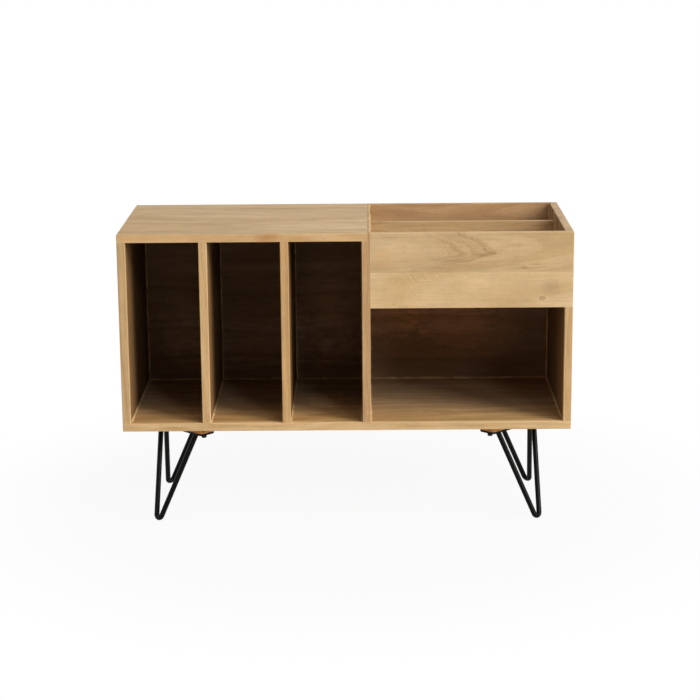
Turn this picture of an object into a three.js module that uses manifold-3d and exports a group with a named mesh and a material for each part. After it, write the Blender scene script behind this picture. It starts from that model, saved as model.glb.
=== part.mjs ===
// Record storage stand: a wooden cabinet on four bent steel rod legs.
//
// Millimetres, +Z up. The origin is on the floor under the middle of the cabinet,
// the open front looks along -Y, and +X is the side with the bin.
//
// The cabinet has three upright slots on the left. On the right, an open shelf bay lies
// under a bin that opens upward and has one divider. The boards are glued, housed in
// stopped grooves and rabbets, and pinned with dowels.

import * as THREE from 'three';
import { mergeVertices } from 'three/addons/utils/BufferGeometryUtils.js';
import { RoundedBoxGeometry } from 'three/addons/geometries/RoundedBoxGeometry.js';
import Module from 'manifold-3d';

const wasm = await Module();
wasm.setup();

// ---------------------------------------------------------------------------
// Driving dimensions: cabinet
// ---------------------------------------------------------------------------

const WIDTH = 1100;
const DEPTH = 450;
const CABINET_HEIGHT = 490;
const LEG_HEIGHT = 250;

const BOTTOM_THICKNESS = 20;
const TOP_THICKNESS = 20;
const SIDE_THICKNESS = 20;
const CENTRE_THICKNESS = 20;
const DIVIDER_THICKNESS = 20;

const SLOT_COUNT = 3;
const SLOT_WIDTH = 176.5;

// The back boards lie in rabbets, flush with the rear edges.
const BACK_THICKNESS = 12;
const BACK_RABBET = 10;

// The top board rests in a rabbet on the centre panel, behind this thin upright lip.
const TOP_LIP = 6;

// Tongues of the upright panels in the bottom and the top board.
const HOUSING_DEPTH = 6;
const HOUSING_STOP = 12;

// The bin: its front is glued up from two boards.
const BIN_FRONT_HEIGHT = 185;
const BIN_FRONT_THICKNESS = 16;
const BIN_LOWER_BOARD_HEIGHT = 88;
const BIN_FLOOR_THICKNESS = 12;
const BIN_FLOOR_RISE = 10;
const BIN_DIVIDER_THICKNESS = 12;
const BIN_DIVIDER_SETBACK = 277;
const BIN_DIVIDER_DROP = 20;
const BIN_HOUSING_DEPTH = 6;

// Eased arrises: round on the outside of the cabinet, a narrow chamfer round each mouth.
const ARRIS_RADIUS = 1.5;
const ARRIS_SEGMENTS = 2;
const MOUTH_CHAMFER = 1;

// Dowels in the butt joints.
const DOWEL_DIAMETER = 8;
const DOWEL_LENGTH = 30;
const DOWEL_FACE_DEPTH = 10;
const DOWEL_ROW_COUNT = 3;
const DOWEL_END_DISTANCE = 75;

// ---------------------------------------------------------------------------
// Driving dimensions: legs
// ---------------------------------------------------------------------------

// Middle of each mounting plate, from the cabinet's side and from its front or rear face.
const PLATE_FROM_SIDE = 127;
const PLATE_FROM_FACE = 120;
const LEG_TURN = 45;

const PLATE_LENGTH = 224;
const PLATE_WIDTH = 48;
const PLATE_THICKNESS = 5;
const PLATE_CORNER = 10;
const BLOCK_THICKNESS = 15;

const ROD_DIAMETER = 13;
const ROD_SPREAD = 140;
const ROD_LEAN = 75;
const ROD_BEND_RADIUS = 10;

const BOLT_DIAMETER = 8;
const BOLT_LENGTH = 30;
const BOLT_END_DISTANCE = 16;
const FLANGE_DIAMETER = 17;
const FLANGE_THICKNESS = 1.6;
const HEAD_DIAMETER = 13;
const HEAD_HEIGHT = 8;
const HEAD_CHAMFER = 0.8;
const SOCKET_WIDTH = 6;
const SOCKET_DEPTH = 4;

// ---------------------------------------------------------------------------
// Clearances and facets
// ---------------------------------------------------------------------------

const GLUE_LINE = 0.2;
const SEAT_GAP = 0.2;
const HOLE_CLEARANCE = 0.3;
const HOLE_END_CLEARANCE = 1;
// Cutting tools reach this far past the faces they cut.
const OVERCUT = 2;

const PIN_SIDES = 12;
const BOLT_SIDES = 18;
const ROD_SIDES = 20;
const BEND_STEPS = 12;
const CORNER_STEPS = 5;

// ---------------------------------------------------------------------------
// Faces of the cabinet, in its own frame with z = 0 at its underside
// ---------------------------------------------------------------------------

const LEFT = -WIDTH / 2;
const RIGHT = WIDTH / 2;
const FRONT = -DEPTH / 2;
const REAR = DEPTH / 2;

const SLOTS_LEFT = LEFT + SIDE_THICKNESS;
const CENTRE_LEFT = SLOTS_LEFT + SLOT_COUNT * SLOT_WIDTH + (SLOT_COUNT - 1) * DIVIDER_THICKNESS;
const CENTRE_RIGHT = CENTRE_LEFT + CENTRE_THICKNESS;
const CENTRE_MIDDLE = CENTRE_LEFT + CENTRE_THICKNESS / 2;
const LIP_LEFT = CENTRE_RIGHT - TOP_LIP;
const BAY_RIGHT = RIGHT - SIDE_THICKNESS;

const FLOOR = BOTTOM_THICKNESS;
const CEILING = CABINET_HEIGHT - TOP_THICKNESS;
const BACK_FACE = REAR - BACK_THICKNESS;

const BIN_FRONT_BOTTOM = CABINET_HEIGHT - BIN_FRONT_HEIGHT;
const BIN_BOARD_JOINT = BIN_FRONT_BOTTOM + BIN_LOWER_BOARD_HEIGHT;
const BIN_FRONT_FACE = FRONT + BIN_FRONT_THICKNESS;
const BIN_FLOOR_BOTTOM = BIN_FRONT_BOTTOM + BIN_FLOOR_RISE;
const BIN_FLOOR_TOP = BIN_FLOOR_BOTTOM + BIN_FLOOR_THICKNESS;
const BIN_DIVIDER_FRONT = FRONT + BIN_DIVIDER_SETBACK;
const BIN_DIVIDER_TOP = CABINET_HEIGHT - BIN_DIVIDER_DROP;

// Heights inside one leg, above the floor.
const BLOCK_BOTTOM = LEG_HEIGHT - SEAT_GAP - BLOCK_THICKNESS;
const PLATE_TOP = BLOCK_BOTTOM - SEAT_GAP;
const PLATE_BOTTOM = PLATE_TOP - PLATE_THICKNESS;

// ---------------------------------------------------------------------------
// Solids
// ---------------------------------------------------------------------------

/** Turns a closed geometry into a solid that can be joined and cut. */
function toSolid(geometry) {
  const bare = geometry.clone();
  bare.deleteAttribute('normal');
  bare.deleteAttribute('uv');
  const welded = mergeVertices(bare);
  return new wasm.Manifold(new wasm.Mesh({
    numProp: 3,
    vertProperties: welded.attributes.position.array,
    triVerts: Uint32Array.from(welded.index.array),
  }));
}

/** Turns a solid back into a geometry. */
function toGeometry(solid) {
  const mesh = solid.getMesh();
  const geometry = new THREE.BufferGeometry();
  geometry.setAttribute('position', new THREE.BufferAttribute(mesh.vertProperties, 3));
  geometry.setIndex(new THREE.BufferAttribute(mesh.triVerts, 1));
  geometry.computeVertexNormals();
  return geometry;
}

/** A square-edged board between three pairs of faces. */
function board([x0, x1], [y0, y1], [z0, z1]) {
  const geometry = new THREE.BoxGeometry(x1 - x0, y1 - y0, z1 - z0);
  geometry.translate((x0 + x1) / 2, (y0 + y1) / 2, (z0 + z1) / 2);
  return toSolid(geometry);
}

/** Cuts each tool away from a solid. */
function cut(solid, ...tools) {
  return tools.flat().reduce((rest, tool) => rest.subtract(tool), solid);
}

/** The cabinet's outer box with rounded arrises, which every outside board is trimmed to. */
function roundedEnvelope() {
  const geometry = new RoundedBoxGeometry(WIDTH, DEPTH, CABINET_HEIGHT, ARRIS_SEGMENTS, ARRIS_RADIUS);
  geometry.translate(0, 0, CABINET_HEIGHT / 2);
  return toSolid(geometry);
}

/**
 * A plug that widens outward by 45 degrees: it chamfers the mouth of an opening.
 * The mouth spans x and v, and the plug's own z is the way out of the opening.
 */
function mouthPlug([x0, x1], [v0, v1], mouth) {
  const rings = [[0, mouth - MOUTH_CHAMFER], [2 * MOUTH_CHAMFER, mouth + MOUTH_CHAMFER]];
  const points = rings.flatMap(([grow, z]) => [
    x0 - grow, v0 - grow, z,
    x1 + grow, v0 - grow, z,
    x1 + grow, v1 + grow, z,
    x0 - grow, v1 + grow, z,
  ]);
  const sides = [0, 1, 2, 3].flatMap((i) => {
    const next = (i + 1) % 4;
    return [i, next, next + 4, i, next + 4, i + 4];
  });
  const geometry = new THREE.BufferGeometry();
  geometry.setAttribute('position', new THREE.Float32BufferAttribute(points, 3));
  geometry.setIndex([0, 2, 1, 0, 3, 2, 4, 5, 6, 4, 6, 7, ...sides]);
  return geometry;
}

/** Left face of slot number i, counted from the left. */
function slotLeft(i) {
  return SLOTS_LEFT + i * (SLOT_WIDTH + DIVIDER_THICKNESS);
}

/** Chamfer tools for the three slots, the shelf bay and the bin. */
function mouthTools() {
  const fronts = [[[CENTRE_RIGHT, BAY_RIGHT], [FLOOR, BIN_FRONT_BOTTOM]]];
  for (let i = 0; i < SLOT_COUNT; i += 1) {
    fronts.push([[slotLeft(i), slotLeft(i) + SLOT_WIDTH], [FLOOR, CEILING]]);
  }
  const tools = fronts.map(([x, z]) => toSolid(mouthPlug(x, z, -FRONT).rotateX(Math.PI / 2)));
  const bin = mouthPlug([CENTRE_RIGHT, BAY_RIGHT], [BIN_FRONT_FACE, BACK_FACE], CABINET_HEIGHT);
  tools.push(toSolid(bin));
  return tools;
}

// ---------------------------------------------------------------------------
// Dowels and bolts, and the holes for them
// ---------------------------------------------------------------------------

/** Places one dowel: at is a point on the joint, inward points into the board's edge. */
function dowel(name, at, inward) {
  const reach = DOWEL_LENGTH / 2 - DOWEL_FACE_DEPTH;
  const centre = at.clone().addScaledVector(inward, reach);
  const turn = new THREE.Quaternion().setFromUnitVectors(new THREE.Vector3(0, 1, 0), inward);
  return { name, centre, turn };
}

/** All dowels: three in each butt joint of the sides, one in each end of the bin's boards. */
function dowelPlaces() {
  const up = new THREE.Vector3(0, 0, 1);
  const down = new THREE.Vector3(0, 0, -1);
  const right = new THREE.Vector3(1, 0, 0);
  const back = new THREE.Vector3(0, 1, 0);
  const leftMiddle = LEFT + SIDE_THICKNESS / 2;
  const rightMiddle = RIGHT - SIDE_THICKNESS / 2;
  const span = DEPTH - 2 * DOWEL_END_DISTANCE;
  const places = [];
  for (let row = 0; row < DOWEL_ROW_COUNT; row += 1) {
    const y = FRONT + DOWEL_END_DISTANCE + (span * row) / (DOWEL_ROW_COUNT - 1);
    const number = row + 1;
    places.push(dowel(`dowel_left_foot_${number}`, new THREE.Vector3(leftMiddle, y, FLOOR), up));
    places.push(dowel(`dowel_left_top_${number}`, new THREE.Vector3(leftMiddle, y, CEILING), down));
    places.push(dowel(`dowel_right_foot_${number}`, new THREE.Vector3(rightMiddle, y, FLOOR), up));
  }
  const middles = {
    lower: (BIN_FRONT_BOTTOM + BIN_BOARD_JOINT) / 2,
    upper: (BIN_BOARD_JOINT + CABINET_HEIGHT) / 2,
  };
  const boardMiddle = FRONT + BIN_FRONT_THICKNESS / 2;
  for (const [level, z] of Object.entries(middles)) {
    const inner = new THREE.Vector3(CENTRE_RIGHT, boardMiddle, z);
    const outer = new THREE.Vector3(rightMiddle, BIN_FRONT_FACE, z);
    places.push(dowel(`dowel_bin_front_${level}_inner`, inner, right));
    places.push(dowel(`dowel_bin_front_${level}_outer`, outer, back));
  }
  return places;
}

/** A plain round pin along its own Y. */
function pin(diameter, length) {
  return new THREE.CylinderGeometry(diameter / 2, diameter / 2, length, PIN_SIDES);
}

/** The hole that takes one dowel. */
function dowelHole({ centre, turn }) {
  const diameter = DOWEL_DIAMETER + 2 * HOLE_CLEARANCE;
  const geometry = pin(diameter, DOWEL_LENGTH + 2 * HOLE_END_CLEARANCE);
  geometry.applyQuaternion(turn);
  geometry.translate(centre.x, centre.y, centre.z);
  return toSolid(geometry);
}

/** The four corners: where each leg stands and how far it is turned. */
function legPlaces() {
  const corners = [];
  for (const [depthName, ySign] of [['front', -1], ['rear', 1]]) {
    for (const [sideName, xSign] of [['left', -1], ['right', 1]]) {
      const lean = THREE.MathUtils.degToRad(LEG_TURN);
      const direction = Math.atan2(ySign * Math.sin(lean), xSign * Math.cos(lean));
      corners.push({
        name: `${depthName}_${sideName}`,
        x: xSign * (WIDTH / 2 - PLATE_FROM_SIDE),
        y: ySign * (DEPTH / 2 - PLATE_FROM_FACE),
        turn: direction - Math.PI / 2,
      });
    }
  }
  return corners;
}

/** Places of the three bolts along one plate. */
function boltPositions() {
  const end = PLATE_LENGTH / 2 - BOLT_END_DISTANCE;
  return { inner: -end, middle: 0, outer: end };
}

/** The blind holes that the bolts of all legs need in the bottom board. */
function boltHoles() {
  const tip = PLATE_BOTTOM - SEAT_GAP + BOLT_LENGTH - LEG_HEIGHT + HOLE_END_CLEARANCE;
  const length = tip + OVERCUT;
  const holes = [];
  for (const { x, y, turn } of legPlaces()) {
    for (const along of Object.values(boltPositions())) {
      const geometry = pin(BOLT_DIAMETER + 2 * HOLE_CLEARANCE, length);
      geometry.rotateX(Math.PI / 2);
      geometry.translate(along, 0, tip - length / 2);
      geometry.rotateZ(turn);
      geometry.translate(x, y, 0);
      holes.push(toSolid(geometry));
    }
  }
  return holes;
}

// ---------------------------------------------------------------------------
// Boards of the cabinet
// ---------------------------------------------------------------------------

/** Groove for an upright panel in the bottom board, stopped behind the front edge. */
function housing([x0, x1], [z0, z1]) {
  return board(
    [x0 - GLUE_LINE, x1 + GLUE_LINE],
    [FRONT + HOUSING_STOP - GLUE_LINE, REAR],
    [z0, z1],
  );
}

/** Spans of the upright panels between the slots. */
function dividerSpans() {
  const spans = [];
  for (let i = 1; i < SLOT_COUNT; i += 1) {
    spans.push([slotLeft(i) - DIVIDER_THICKNESS, slotLeft(i)]);
  }
  return spans;
}

/** Full-width bottom board, grooved for the uprights and rabbeted for the backs. */
function bottomPanel() {
  const grooveBottom = FLOOR - HOUSING_DEPTH - GLUE_LINE;
  const uprights = [...dividerSpans(), [CENTRE_LEFT, CENTRE_RIGHT]];
  const grooves = uprights.map((span) => housing(span, [grooveBottom, FLOOR + OVERCUT]));
  const rabbet = board(
    [SLOTS_LEFT - BACK_RABBET - GLUE_LINE, BAY_RIGHT + BACK_RABBET + GLUE_LINE],
    [BACK_FACE - GLUE_LINE, REAR + OVERCUT],
    [FLOOR - BACK_RABBET - GLUE_LINE, FLOOR + OVERCUT],
  );
  return cut(board([LEFT, RIGHT], [FRONT, REAR], [0, FLOOR]), grooves, rabbet, boltHoles());
}

/** Top board over the slots, grooved for the dividers and rabbeted for the slots' back. */
function topPanel() {
  const grooveTop = CEILING + HOUSING_DEPTH + GLUE_LINE;
  const grooves = dividerSpans().map((span) => housing(span, [CEILING - OVERCUT, grooveTop]));
  const rabbet = board(
    [SLOTS_LEFT - BACK_RABBET - GLUE_LINE, CENTRE_MIDDLE + GLUE_LINE],
    [BACK_FACE - GLUE_LINE, REAR + OVERCUT],
    [CEILING - OVERCUT, CEILING + BACK_RABBET + GLUE_LINE],
  );
  const slab = board([LEFT, LIP_LEFT - GLUE_LINE], [FRONT, REAR], [CEILING, CABINET_HEIGHT]);
  return cut(slab, grooves, rabbet);
}

/** Left side board, standing between the bottom and the top board. */
function leftSidePanel() {
  const rabbet = board(
    [SLOTS_LEFT - BACK_RABBET - GLUE_LINE, SLOTS_LEFT + OVERCUT],
    [BACK_FACE - GLUE_LINE, REAR + OVERCUT],
    [0, CABINET_HEIGHT],
  );
  const heights = [FLOOR + GLUE_LINE, CEILING - GLUE_LINE];
  return cut(board([LEFT, SLOTS_LEFT], [FRONT, REAR], heights), rabbet);
}

/** Grooves in both walls of the bin for its floor and its divider. */
function binGrooves([x0, x1]) {
  const floorGroove = board(
    [x0, x1],
    [BIN_FRONT_FACE - BIN_HOUSING_DEPTH - GLUE_LINE, REAR],
    [BIN_FLOOR_BOTTOM - GLUE_LINE, BIN_FLOOR_TOP + GLUE_LINE],
  );
  const dividerGroove = board(
    [x0, x1],
    [BIN_DIVIDER_FRONT - GLUE_LINE, BIN_DIVIDER_FRONT + BIN_DIVIDER_THICKNESS + GLUE_LINE],
    [BIN_FLOOR_BOTTOM, BIN_DIVIDER_TOP + GLUE_LINE],
  );
  return [floorGroove, dividerGroove];
}

/** Right side board, as high as the bin's rim and notched in front for the bin's front. */
function rightSidePanel() {
  const notch = board(
    [BAY_RIGHT - OVERCUT, RIGHT + OVERCUT],
    [FRONT - OVERCUT, BIN_FRONT_FACE + GLUE_LINE],
    [BIN_FRONT_BOTTOM - GLUE_LINE, CABINET_HEIGHT + OVERCUT],
  );
  const rabbet = board(
    [BAY_RIGHT - OVERCUT, BAY_RIGHT + BACK_RABBET + GLUE_LINE],
    [BACK_FACE - GLUE_LINE, REAR + OVERCUT],
    [0, CABINET_HEIGHT + OVERCUT],
  );
  const grooves = binGrooves([BAY_RIGHT - OVERCUT, BAY_RIGHT + BIN_HOUSING_DEPTH + GLUE_LINE]);
  const heights = [FLOOR + GLUE_LINE, CABINET_HEIGHT];
  return cut(board([BAY_RIGHT, RIGHT], [FRONT, REAR], heights), notch, rabbet, grooves);
}

/** Upright between the slots and the bay, with a lip beside the end of the top board. */
function centrePanel() {
  const depth = [FRONT, BACK_FACE - GLUE_LINE];
  const tongueDepth = [FRONT + HOUSING_STOP, BACK_FACE - GLUE_LINE];
  const slab = board([CENTRE_LEFT, CENTRE_RIGHT], depth, [FLOOR + GLUE_LINE, CABINET_HEIGHT]);
  const tongue = board([CENTRE_LEFT, CENTRE_RIGHT], tongueDepth, [FLOOR - HOUSING_DEPTH, CEILING]);
  const seat = board(
    [CENTRE_LEFT - OVERCUT, LIP_LEFT],
    [FRONT - OVERCUT, REAR],
    [CEILING - GLUE_LINE, CABINET_HEIGHT + OVERCUT],
  );
  const grooves = binGrooves([CENTRE_RIGHT - BIN_HOUSING_DEPTH - GLUE_LINE, CENTRE_RIGHT + OVERCUT]);
  return cut(slab.add(tongue), seat, grooves);
}

/** Divider between two slots, with a tongue in the bottom and the top board. */
function slotDivider(span) {
  const back = BACK_FACE - GLUE_LINE;
  const slab = board(span, [FRONT, back], [FLOOR + GLUE_LINE, CEILING - GLUE_LINE]);
  const heights = [FLOOR - HOUSING_DEPTH, CEILING + HOUSING_DEPTH];
  return slab.add(board(span, [FRONT + HOUSING_STOP, back], heights));
}

/** Back board of the slots. */
function slotBackPanel() {
  return board(
    [SLOTS_LEFT - BACK_RABBET, CENTRE_MIDDLE - GLUE_LINE / 2],
    [BACK_FACE, REAR],
    [FLOOR - BACK_RABBET, CEILING + BACK_RABBET],
  );
}

/** Back board of the bay and the bin, as high as the rim, cut back round the top board. */
function bayBackPanel() {
  const slab = board(
    [CENTRE_MIDDLE + GLUE_LINE / 2, BAY_RIGHT + BACK_RABBET],
    [BACK_FACE, REAR],
    [FLOOR - BACK_RABBET, CABINET_HEIGHT],
  );
  const corner = board(
    [CENTRE_LEFT, LIP_LEFT],
    [BACK_FACE - OVERCUT, REAR + OVERCUT],
    [CEILING - GLUE_LINE, CABINET_HEIGHT + OVERCUT],
  );
  return cut(slab, corner);
}

/** One of the two boards of the bin's front, which laps the right side board. */
function binFrontBoard(heights) {
  const slab = board([CENTRE_RIGHT + GLUE_LINE, RIGHT], [FRONT, BIN_FRONT_FACE], heights);
  const groove = board(
    [CENTRE_RIGHT - OVERCUT, BAY_RIGHT + BIN_HOUSING_DEPTH + GLUE_LINE],
    [BIN_FRONT_FACE - BIN_HOUSING_DEPTH - GLUE_LINE, BIN_FRONT_FACE + OVERCUT],
    [BIN_FLOOR_BOTTOM - GLUE_LINE, BIN_FLOOR_TOP + GLUE_LINE],
  );
  return cut(slab, groove);
}

/** Span of the bin's floor and divider, with their ends in the grooves. */
function binInnerSpan() {
  return [CENTRE_RIGHT - BIN_HOUSING_DEPTH, BAY_RIGHT + BIN_HOUSING_DEPTH];
}

/** Floor of the bin, which is the ceiling of the bay. */
function binFloorPanel() {
  const depth = [BIN_FRONT_FACE - BIN_HOUSING_DEPTH, BACK_FACE - GLUE_LINE];
  return board(binInnerSpan(), depth, [BIN_FLOOR_BOTTOM, BIN_FLOOR_TOP]);
}

/** Divider of the bin, lower than its rim. */
function binDivider() {
  const depth = [BIN_DIVIDER_FRONT, BIN_DIVIDER_FRONT + BIN_DIVIDER_THICKNESS];
  return board(binInnerSpan(), depth, [BIN_FLOOR_TOP + GLUE_LINE, BIN_DIVIDER_TOP]);
}

// ---------------------------------------------------------------------------
// Parts of one leg, in its own frame: x runs along the plate, +y is the way it leans
// ---------------------------------------------------------------------------

/** Outline of plate and block: a strip with rounded corners and a row of bolt holes. */
function stripOutline() {
  const x = PLATE_LENGTH / 2 - PLATE_CORNER;
  const y = PLATE_WIDTH / 2 - PLATE_CORNER;
  const quarter = Math.PI / 2;
  const shape = new THREE.Shape();
  shape.absarc(x, y, PLATE_CORNER, 0, quarter);
  shape.absarc(-x, y, PLATE_CORNER, quarter, 2 * quarter);
  shape.absarc(-x, -y, PLATE_CORNER, 2 * quarter, 3 * quarter);
  shape.absarc(x, -y, PLATE_CORNER, 3 * quarter, 4 * quarter);
  for (const along of Object.values(boltPositions())) {
    const hole = new THREE.Path();
    hole.absarc(along, 0, BOLT_DIAMETER / 2 + HOLE_CLEARANCE, 0, 2 * Math.PI);
    shape.holes.push(hole);
  }
  return shape;
}

/** A flat strip of the given thickness on that outline. */
function strip(thickness) {
  const options = { depth: thickness, bevelEnabled: false, curveSegments: CORNER_STEPS };
  return new THREE.ExtrudeGeometry(stripOutline(), options);
}

/**
 * Centre line of a hairpin: a straight run down, a tight bend at the floor and a straight
 * run up again, all in one leaning plane. Its stations lie only where the line turns.
 */
class HairpinLine extends THREE.Curve {
  constructor() {
    super();
    const drop = PLATE_BOTTOM - ROD_DIAMETER / 2;
    const slope = Math.hypot(drop, ROD_LEAN);
    this.down = new THREE.Vector3(0, ROD_LEAN / slope, -drop / slope);
    this.across = new THREE.Vector3(1, 0, 0);
    this.planeNormal = new THREE.Vector3().crossVectors(this.across, this.down);

    // The straight runs are tangents from the weld points to the circle of the bend.
    const half = ROD_SPREAD / 2;
    const bendDepth = slope - ROD_BEND_RADIUS;
    const tilt = Math.atan2(half, bendDepth) - Math.asin(ROD_BEND_RADIUS / Math.hypot(half, bendDepth));
    this.stations = [];
    this.addStation(half + ROD_DIAMETER * Math.sin(tilt), -ROD_DIAMETER * Math.cos(tilt), tilt);
    for (let i = 0; i <= BEND_STEPS; i += 1) {
      const turn = tilt + ((Math.PI - 2 * tilt) * i) / BEND_STEPS;
      const x = ROD_BEND_RADIUS * Math.cos(turn);
      const depth = bendDepth + ROD_BEND_RADIUS * Math.sin(turn);
      this.addStation(x, depth, turn);
    }
    this.addStation(-half - ROD_DIAMETER * Math.sin(tilt), -ROD_DIAMETER * Math.cos(tilt), Math.PI - tilt);
  }

  /** Adds a point at x across and depth down the plane, heading turned from straight down. */
  addStation(x, depth, turn) {
    const point = new THREE.Vector3(0, 0, PLATE_BOTTOM);
    point.addScaledVector(this.across, x).addScaledVector(this.down, depth);
    const tangent = new THREE.Vector3();
    tangent.addScaledVector(this.across, -Math.sin(turn)).addScaledVector(this.down, Math.cos(turn));
    this.stations.push({ point, tangent });
  }

  getSpacedPoints() {
    return this.stations.map(({ point }) => point.clone());
  }

  computeFrenetFrames() {
    const tangents = this.stations.map(({ tangent }) => tangent.clone());
    const normals = tangents.map(() => this.planeNormal.clone());
    const binormals = tangents.map((tangent, i) => new THREE.Vector3().crossVectors(tangent, normals[i]));
    return { tangents, normals, binormals };
  }
}

/** The bent rod, its two ends cut level under the plate where they are welded on. */
function hairpinRod() {
  const line = new HairpinLine();
  const section = new THREE.Shape();
  section.absarc(0, 0, ROD_DIAMETER / 2, 0, 2 * Math.PI);
  const rod = new THREE.ExtrudeGeometry(section, {
    extrudePath: line,
    steps: line.stations.length - 1,
    curveSegments: ROD_SIDES / 2,
  });
  const above = board(
    [-ROD_SPREAD, ROD_SPREAD],
    [-ROD_SPREAD, ROD_SPREAD],
    [PLATE_BOTTOM - SEAT_GAP, PLATE_BOTTOM + 2 * ROD_DIAMETER],
  );
  return toGeometry(cut(toSolid(rod), above));
}

/** Flanged cap screw with a hexagon socket, head down, with z = 0 at the flange's seat. */
function capScrew() {
  const headBottom = -FLANGE_THICKNESS - HEAD_HEIGHT;
  const profile = [
    [0, headBottom],
    [HEAD_DIAMETER / 2 - HEAD_CHAMFER, headBottom],
    [HEAD_DIAMETER / 2, headBottom + HEAD_CHAMFER],
    [HEAD_DIAMETER / 2, -FLANGE_THICKNESS],
    [FLANGE_DIAMETER / 2, -FLANGE_THICKNESS],
    [FLANGE_DIAMETER / 2, 0],
    [BOLT_DIAMETER / 2, 0],
    [BOLT_DIAMETER / 2, BOLT_LENGTH],
    [0, BOLT_LENGTH],
  ];
  const body = new THREE.LatheGeometry(profile.map(([r, z]) => new THREE.Vector2(r, z)), BOLT_SIDES);
  body.rotateX(Math.PI / 2);
  const corner = SOCKET_WIDTH / Math.sqrt(3);
  const socket = new THREE.CylinderGeometry(corner, corner, SOCKET_DEPTH + OVERCUT, 6);
  socket.rotateX(Math.PI / 2).translate(0, 0, headBottom + (SOCKET_DEPTH - OVERCUT) / 2);
  return toGeometry(cut(toSolid(body), toSolid(socket)));
}

// ---------------------------------------------------------------------------
// Materials and the assembled object
// ---------------------------------------------------------------------------

const WOOD = 0xc8a573;
const BIN_WOOD = 0xcfaf82;
const BLOCK_WOOD = 0xa8713c;
const DOWEL_WOOD = 0xd8c29a;
const BLACK_STEEL = 0x1b1a18;
const BOLT_STEEL = 0x33322f;

function wood(color) {
  return new THREE.MeshStandardMaterial({ color, roughness: 0.55, metalness: 0 });
}

function steel(color) {
  return new THREE.MeshStandardMaterial({ color, roughness: 0.45, metalness: 0.6 });
}

function named(name, geometry, material) {
  const mesh = new THREE.Mesh(geometry, material);
  mesh.name = name;
  return mesh;
}

/** The wooden cabinet, with its frame at its underside. */
function cabinet() {
  const group = new THREE.Group();
  const envelope = roundedEnvelope();
  const mouths = mouthTools();
  const dowels = dowelPlaces();
  const holes = dowels.map(dowelHole);
  const [leftSpan, rightSpan] = dividerSpans();
  const boards = [
    ['bottom_panel', bottomPanel(), WOOD],
    ['top_panel', topPanel(), WOOD],
    ['left_side_panel', leftSidePanel(), WOOD],
    ['right_side_panel', rightSidePanel(), WOOD],
    ['centre_panel', centrePanel(), WOOD],
    ['slot_divider_left', slotDivider(leftSpan), WOOD],
    ['slot_divider_right', slotDivider(rightSpan), WOOD],
    ['slot_back_panel', slotBackPanel(), WOOD],
    ['bay_back_panel', bayBackPanel(), WOOD],
    ['bin_front_lower_board', binFrontBoard([BIN_FRONT_BOTTOM, BIN_BOARD_JOINT - GLUE_LINE]), BIN_WOOD],
    ['bin_front_upper_board', binFrontBoard([BIN_BOARD_JOINT, CABINET_HEIGHT]), BIN_WOOD],
    ['bin_floor_panel', binFloorPanel(), WOOD],
    ['bin_divider', binDivider(), WOOD],
  ];
  for (const [name, solid, color] of boards) {
    const trimmed = cut(solid.intersect(envelope), mouths, holes);
    group.add(named(name, toGeometry(trimmed), wood(color)));
  }
  for (const { name, centre, turn } of dowels) {
    const mesh = named(name, pin(DOWEL_DIAMETER, DOWEL_LENGTH), wood(DOWEL_WOOD));
    mesh.position.copy(centre);
    mesh.quaternion.copy(turn);
    group.add(mesh);
  }
  group.position.z = LEG_HEIGHT;
  return group;
}

/** One leg: wooden block, steel plate, hairpin rod and three bolts. */
function leg({ name, x, y, turn }) {
  const group = new THREE.Group();
  const block = named(`${name}_leg_block`, strip(BLOCK_THICKNESS), wood(BLOCK_WOOD));
  block.position.z = BLOCK_BOTTOM;
  const plate = named(`${name}_mounting_plate`, strip(PLATE_THICKNESS), steel(BLACK_STEEL));
  plate.position.z = PLATE_BOTTOM;
  group.add(block, plate, named(`${name}_hairpin_rod`, hairpinRod(), steel(BLACK_STEEL)));
  for (const [place, along] of Object.entries(boltPositions())) {
    const bolt = named(`${name}_bolt_${place}`, capScrew(), steel(BOLT_STEEL));
    bolt.position.set(along, 0, PLATE_BOTTOM - SEAT_GAP);
    group.add(bolt);
  }
  group.position.set(x, y, 0);
  group.rotation.z = turn;
  return group;
}

/** The whole stand. */
function recordStand() {
  const stand = new THREE.Group();
  stand.name = 'record_storage_stand';
  stand.add(cabinet());
  legPlaces().forEach((place) => stand.add(leg(place)));
  return stand;
}

export default recordStand();
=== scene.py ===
"""Looks of a record storage stand: mango boards, filler beads, hairpin legs and a plain studio.

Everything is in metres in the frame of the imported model: X to the right along the front,
Y from the front to the back and Z up from the floor.
"""

import logging
import math
from dataclasses import dataclass, field
from enum import Enum
from typing import ClassVar, Sequence, Union

import bpy
import numpy as np
from mathutils import Matrix, Vector

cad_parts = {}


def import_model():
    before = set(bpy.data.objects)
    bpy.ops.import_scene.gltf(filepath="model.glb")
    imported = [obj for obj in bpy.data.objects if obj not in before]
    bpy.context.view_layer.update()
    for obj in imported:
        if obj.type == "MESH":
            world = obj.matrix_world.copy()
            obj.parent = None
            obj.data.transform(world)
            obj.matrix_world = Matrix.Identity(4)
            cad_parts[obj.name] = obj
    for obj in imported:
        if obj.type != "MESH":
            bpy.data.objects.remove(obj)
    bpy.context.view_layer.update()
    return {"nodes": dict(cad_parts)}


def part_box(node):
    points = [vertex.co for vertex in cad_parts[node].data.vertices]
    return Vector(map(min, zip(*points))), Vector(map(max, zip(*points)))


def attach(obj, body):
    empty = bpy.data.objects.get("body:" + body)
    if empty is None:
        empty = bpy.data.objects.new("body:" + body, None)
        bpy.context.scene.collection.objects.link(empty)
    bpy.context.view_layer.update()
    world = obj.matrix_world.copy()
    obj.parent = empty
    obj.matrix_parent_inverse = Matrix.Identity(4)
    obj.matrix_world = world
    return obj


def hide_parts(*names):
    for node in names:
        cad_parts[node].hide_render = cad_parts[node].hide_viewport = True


Colour = tuple[float, float, float]
Point = tuple[float, float, float]
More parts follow.
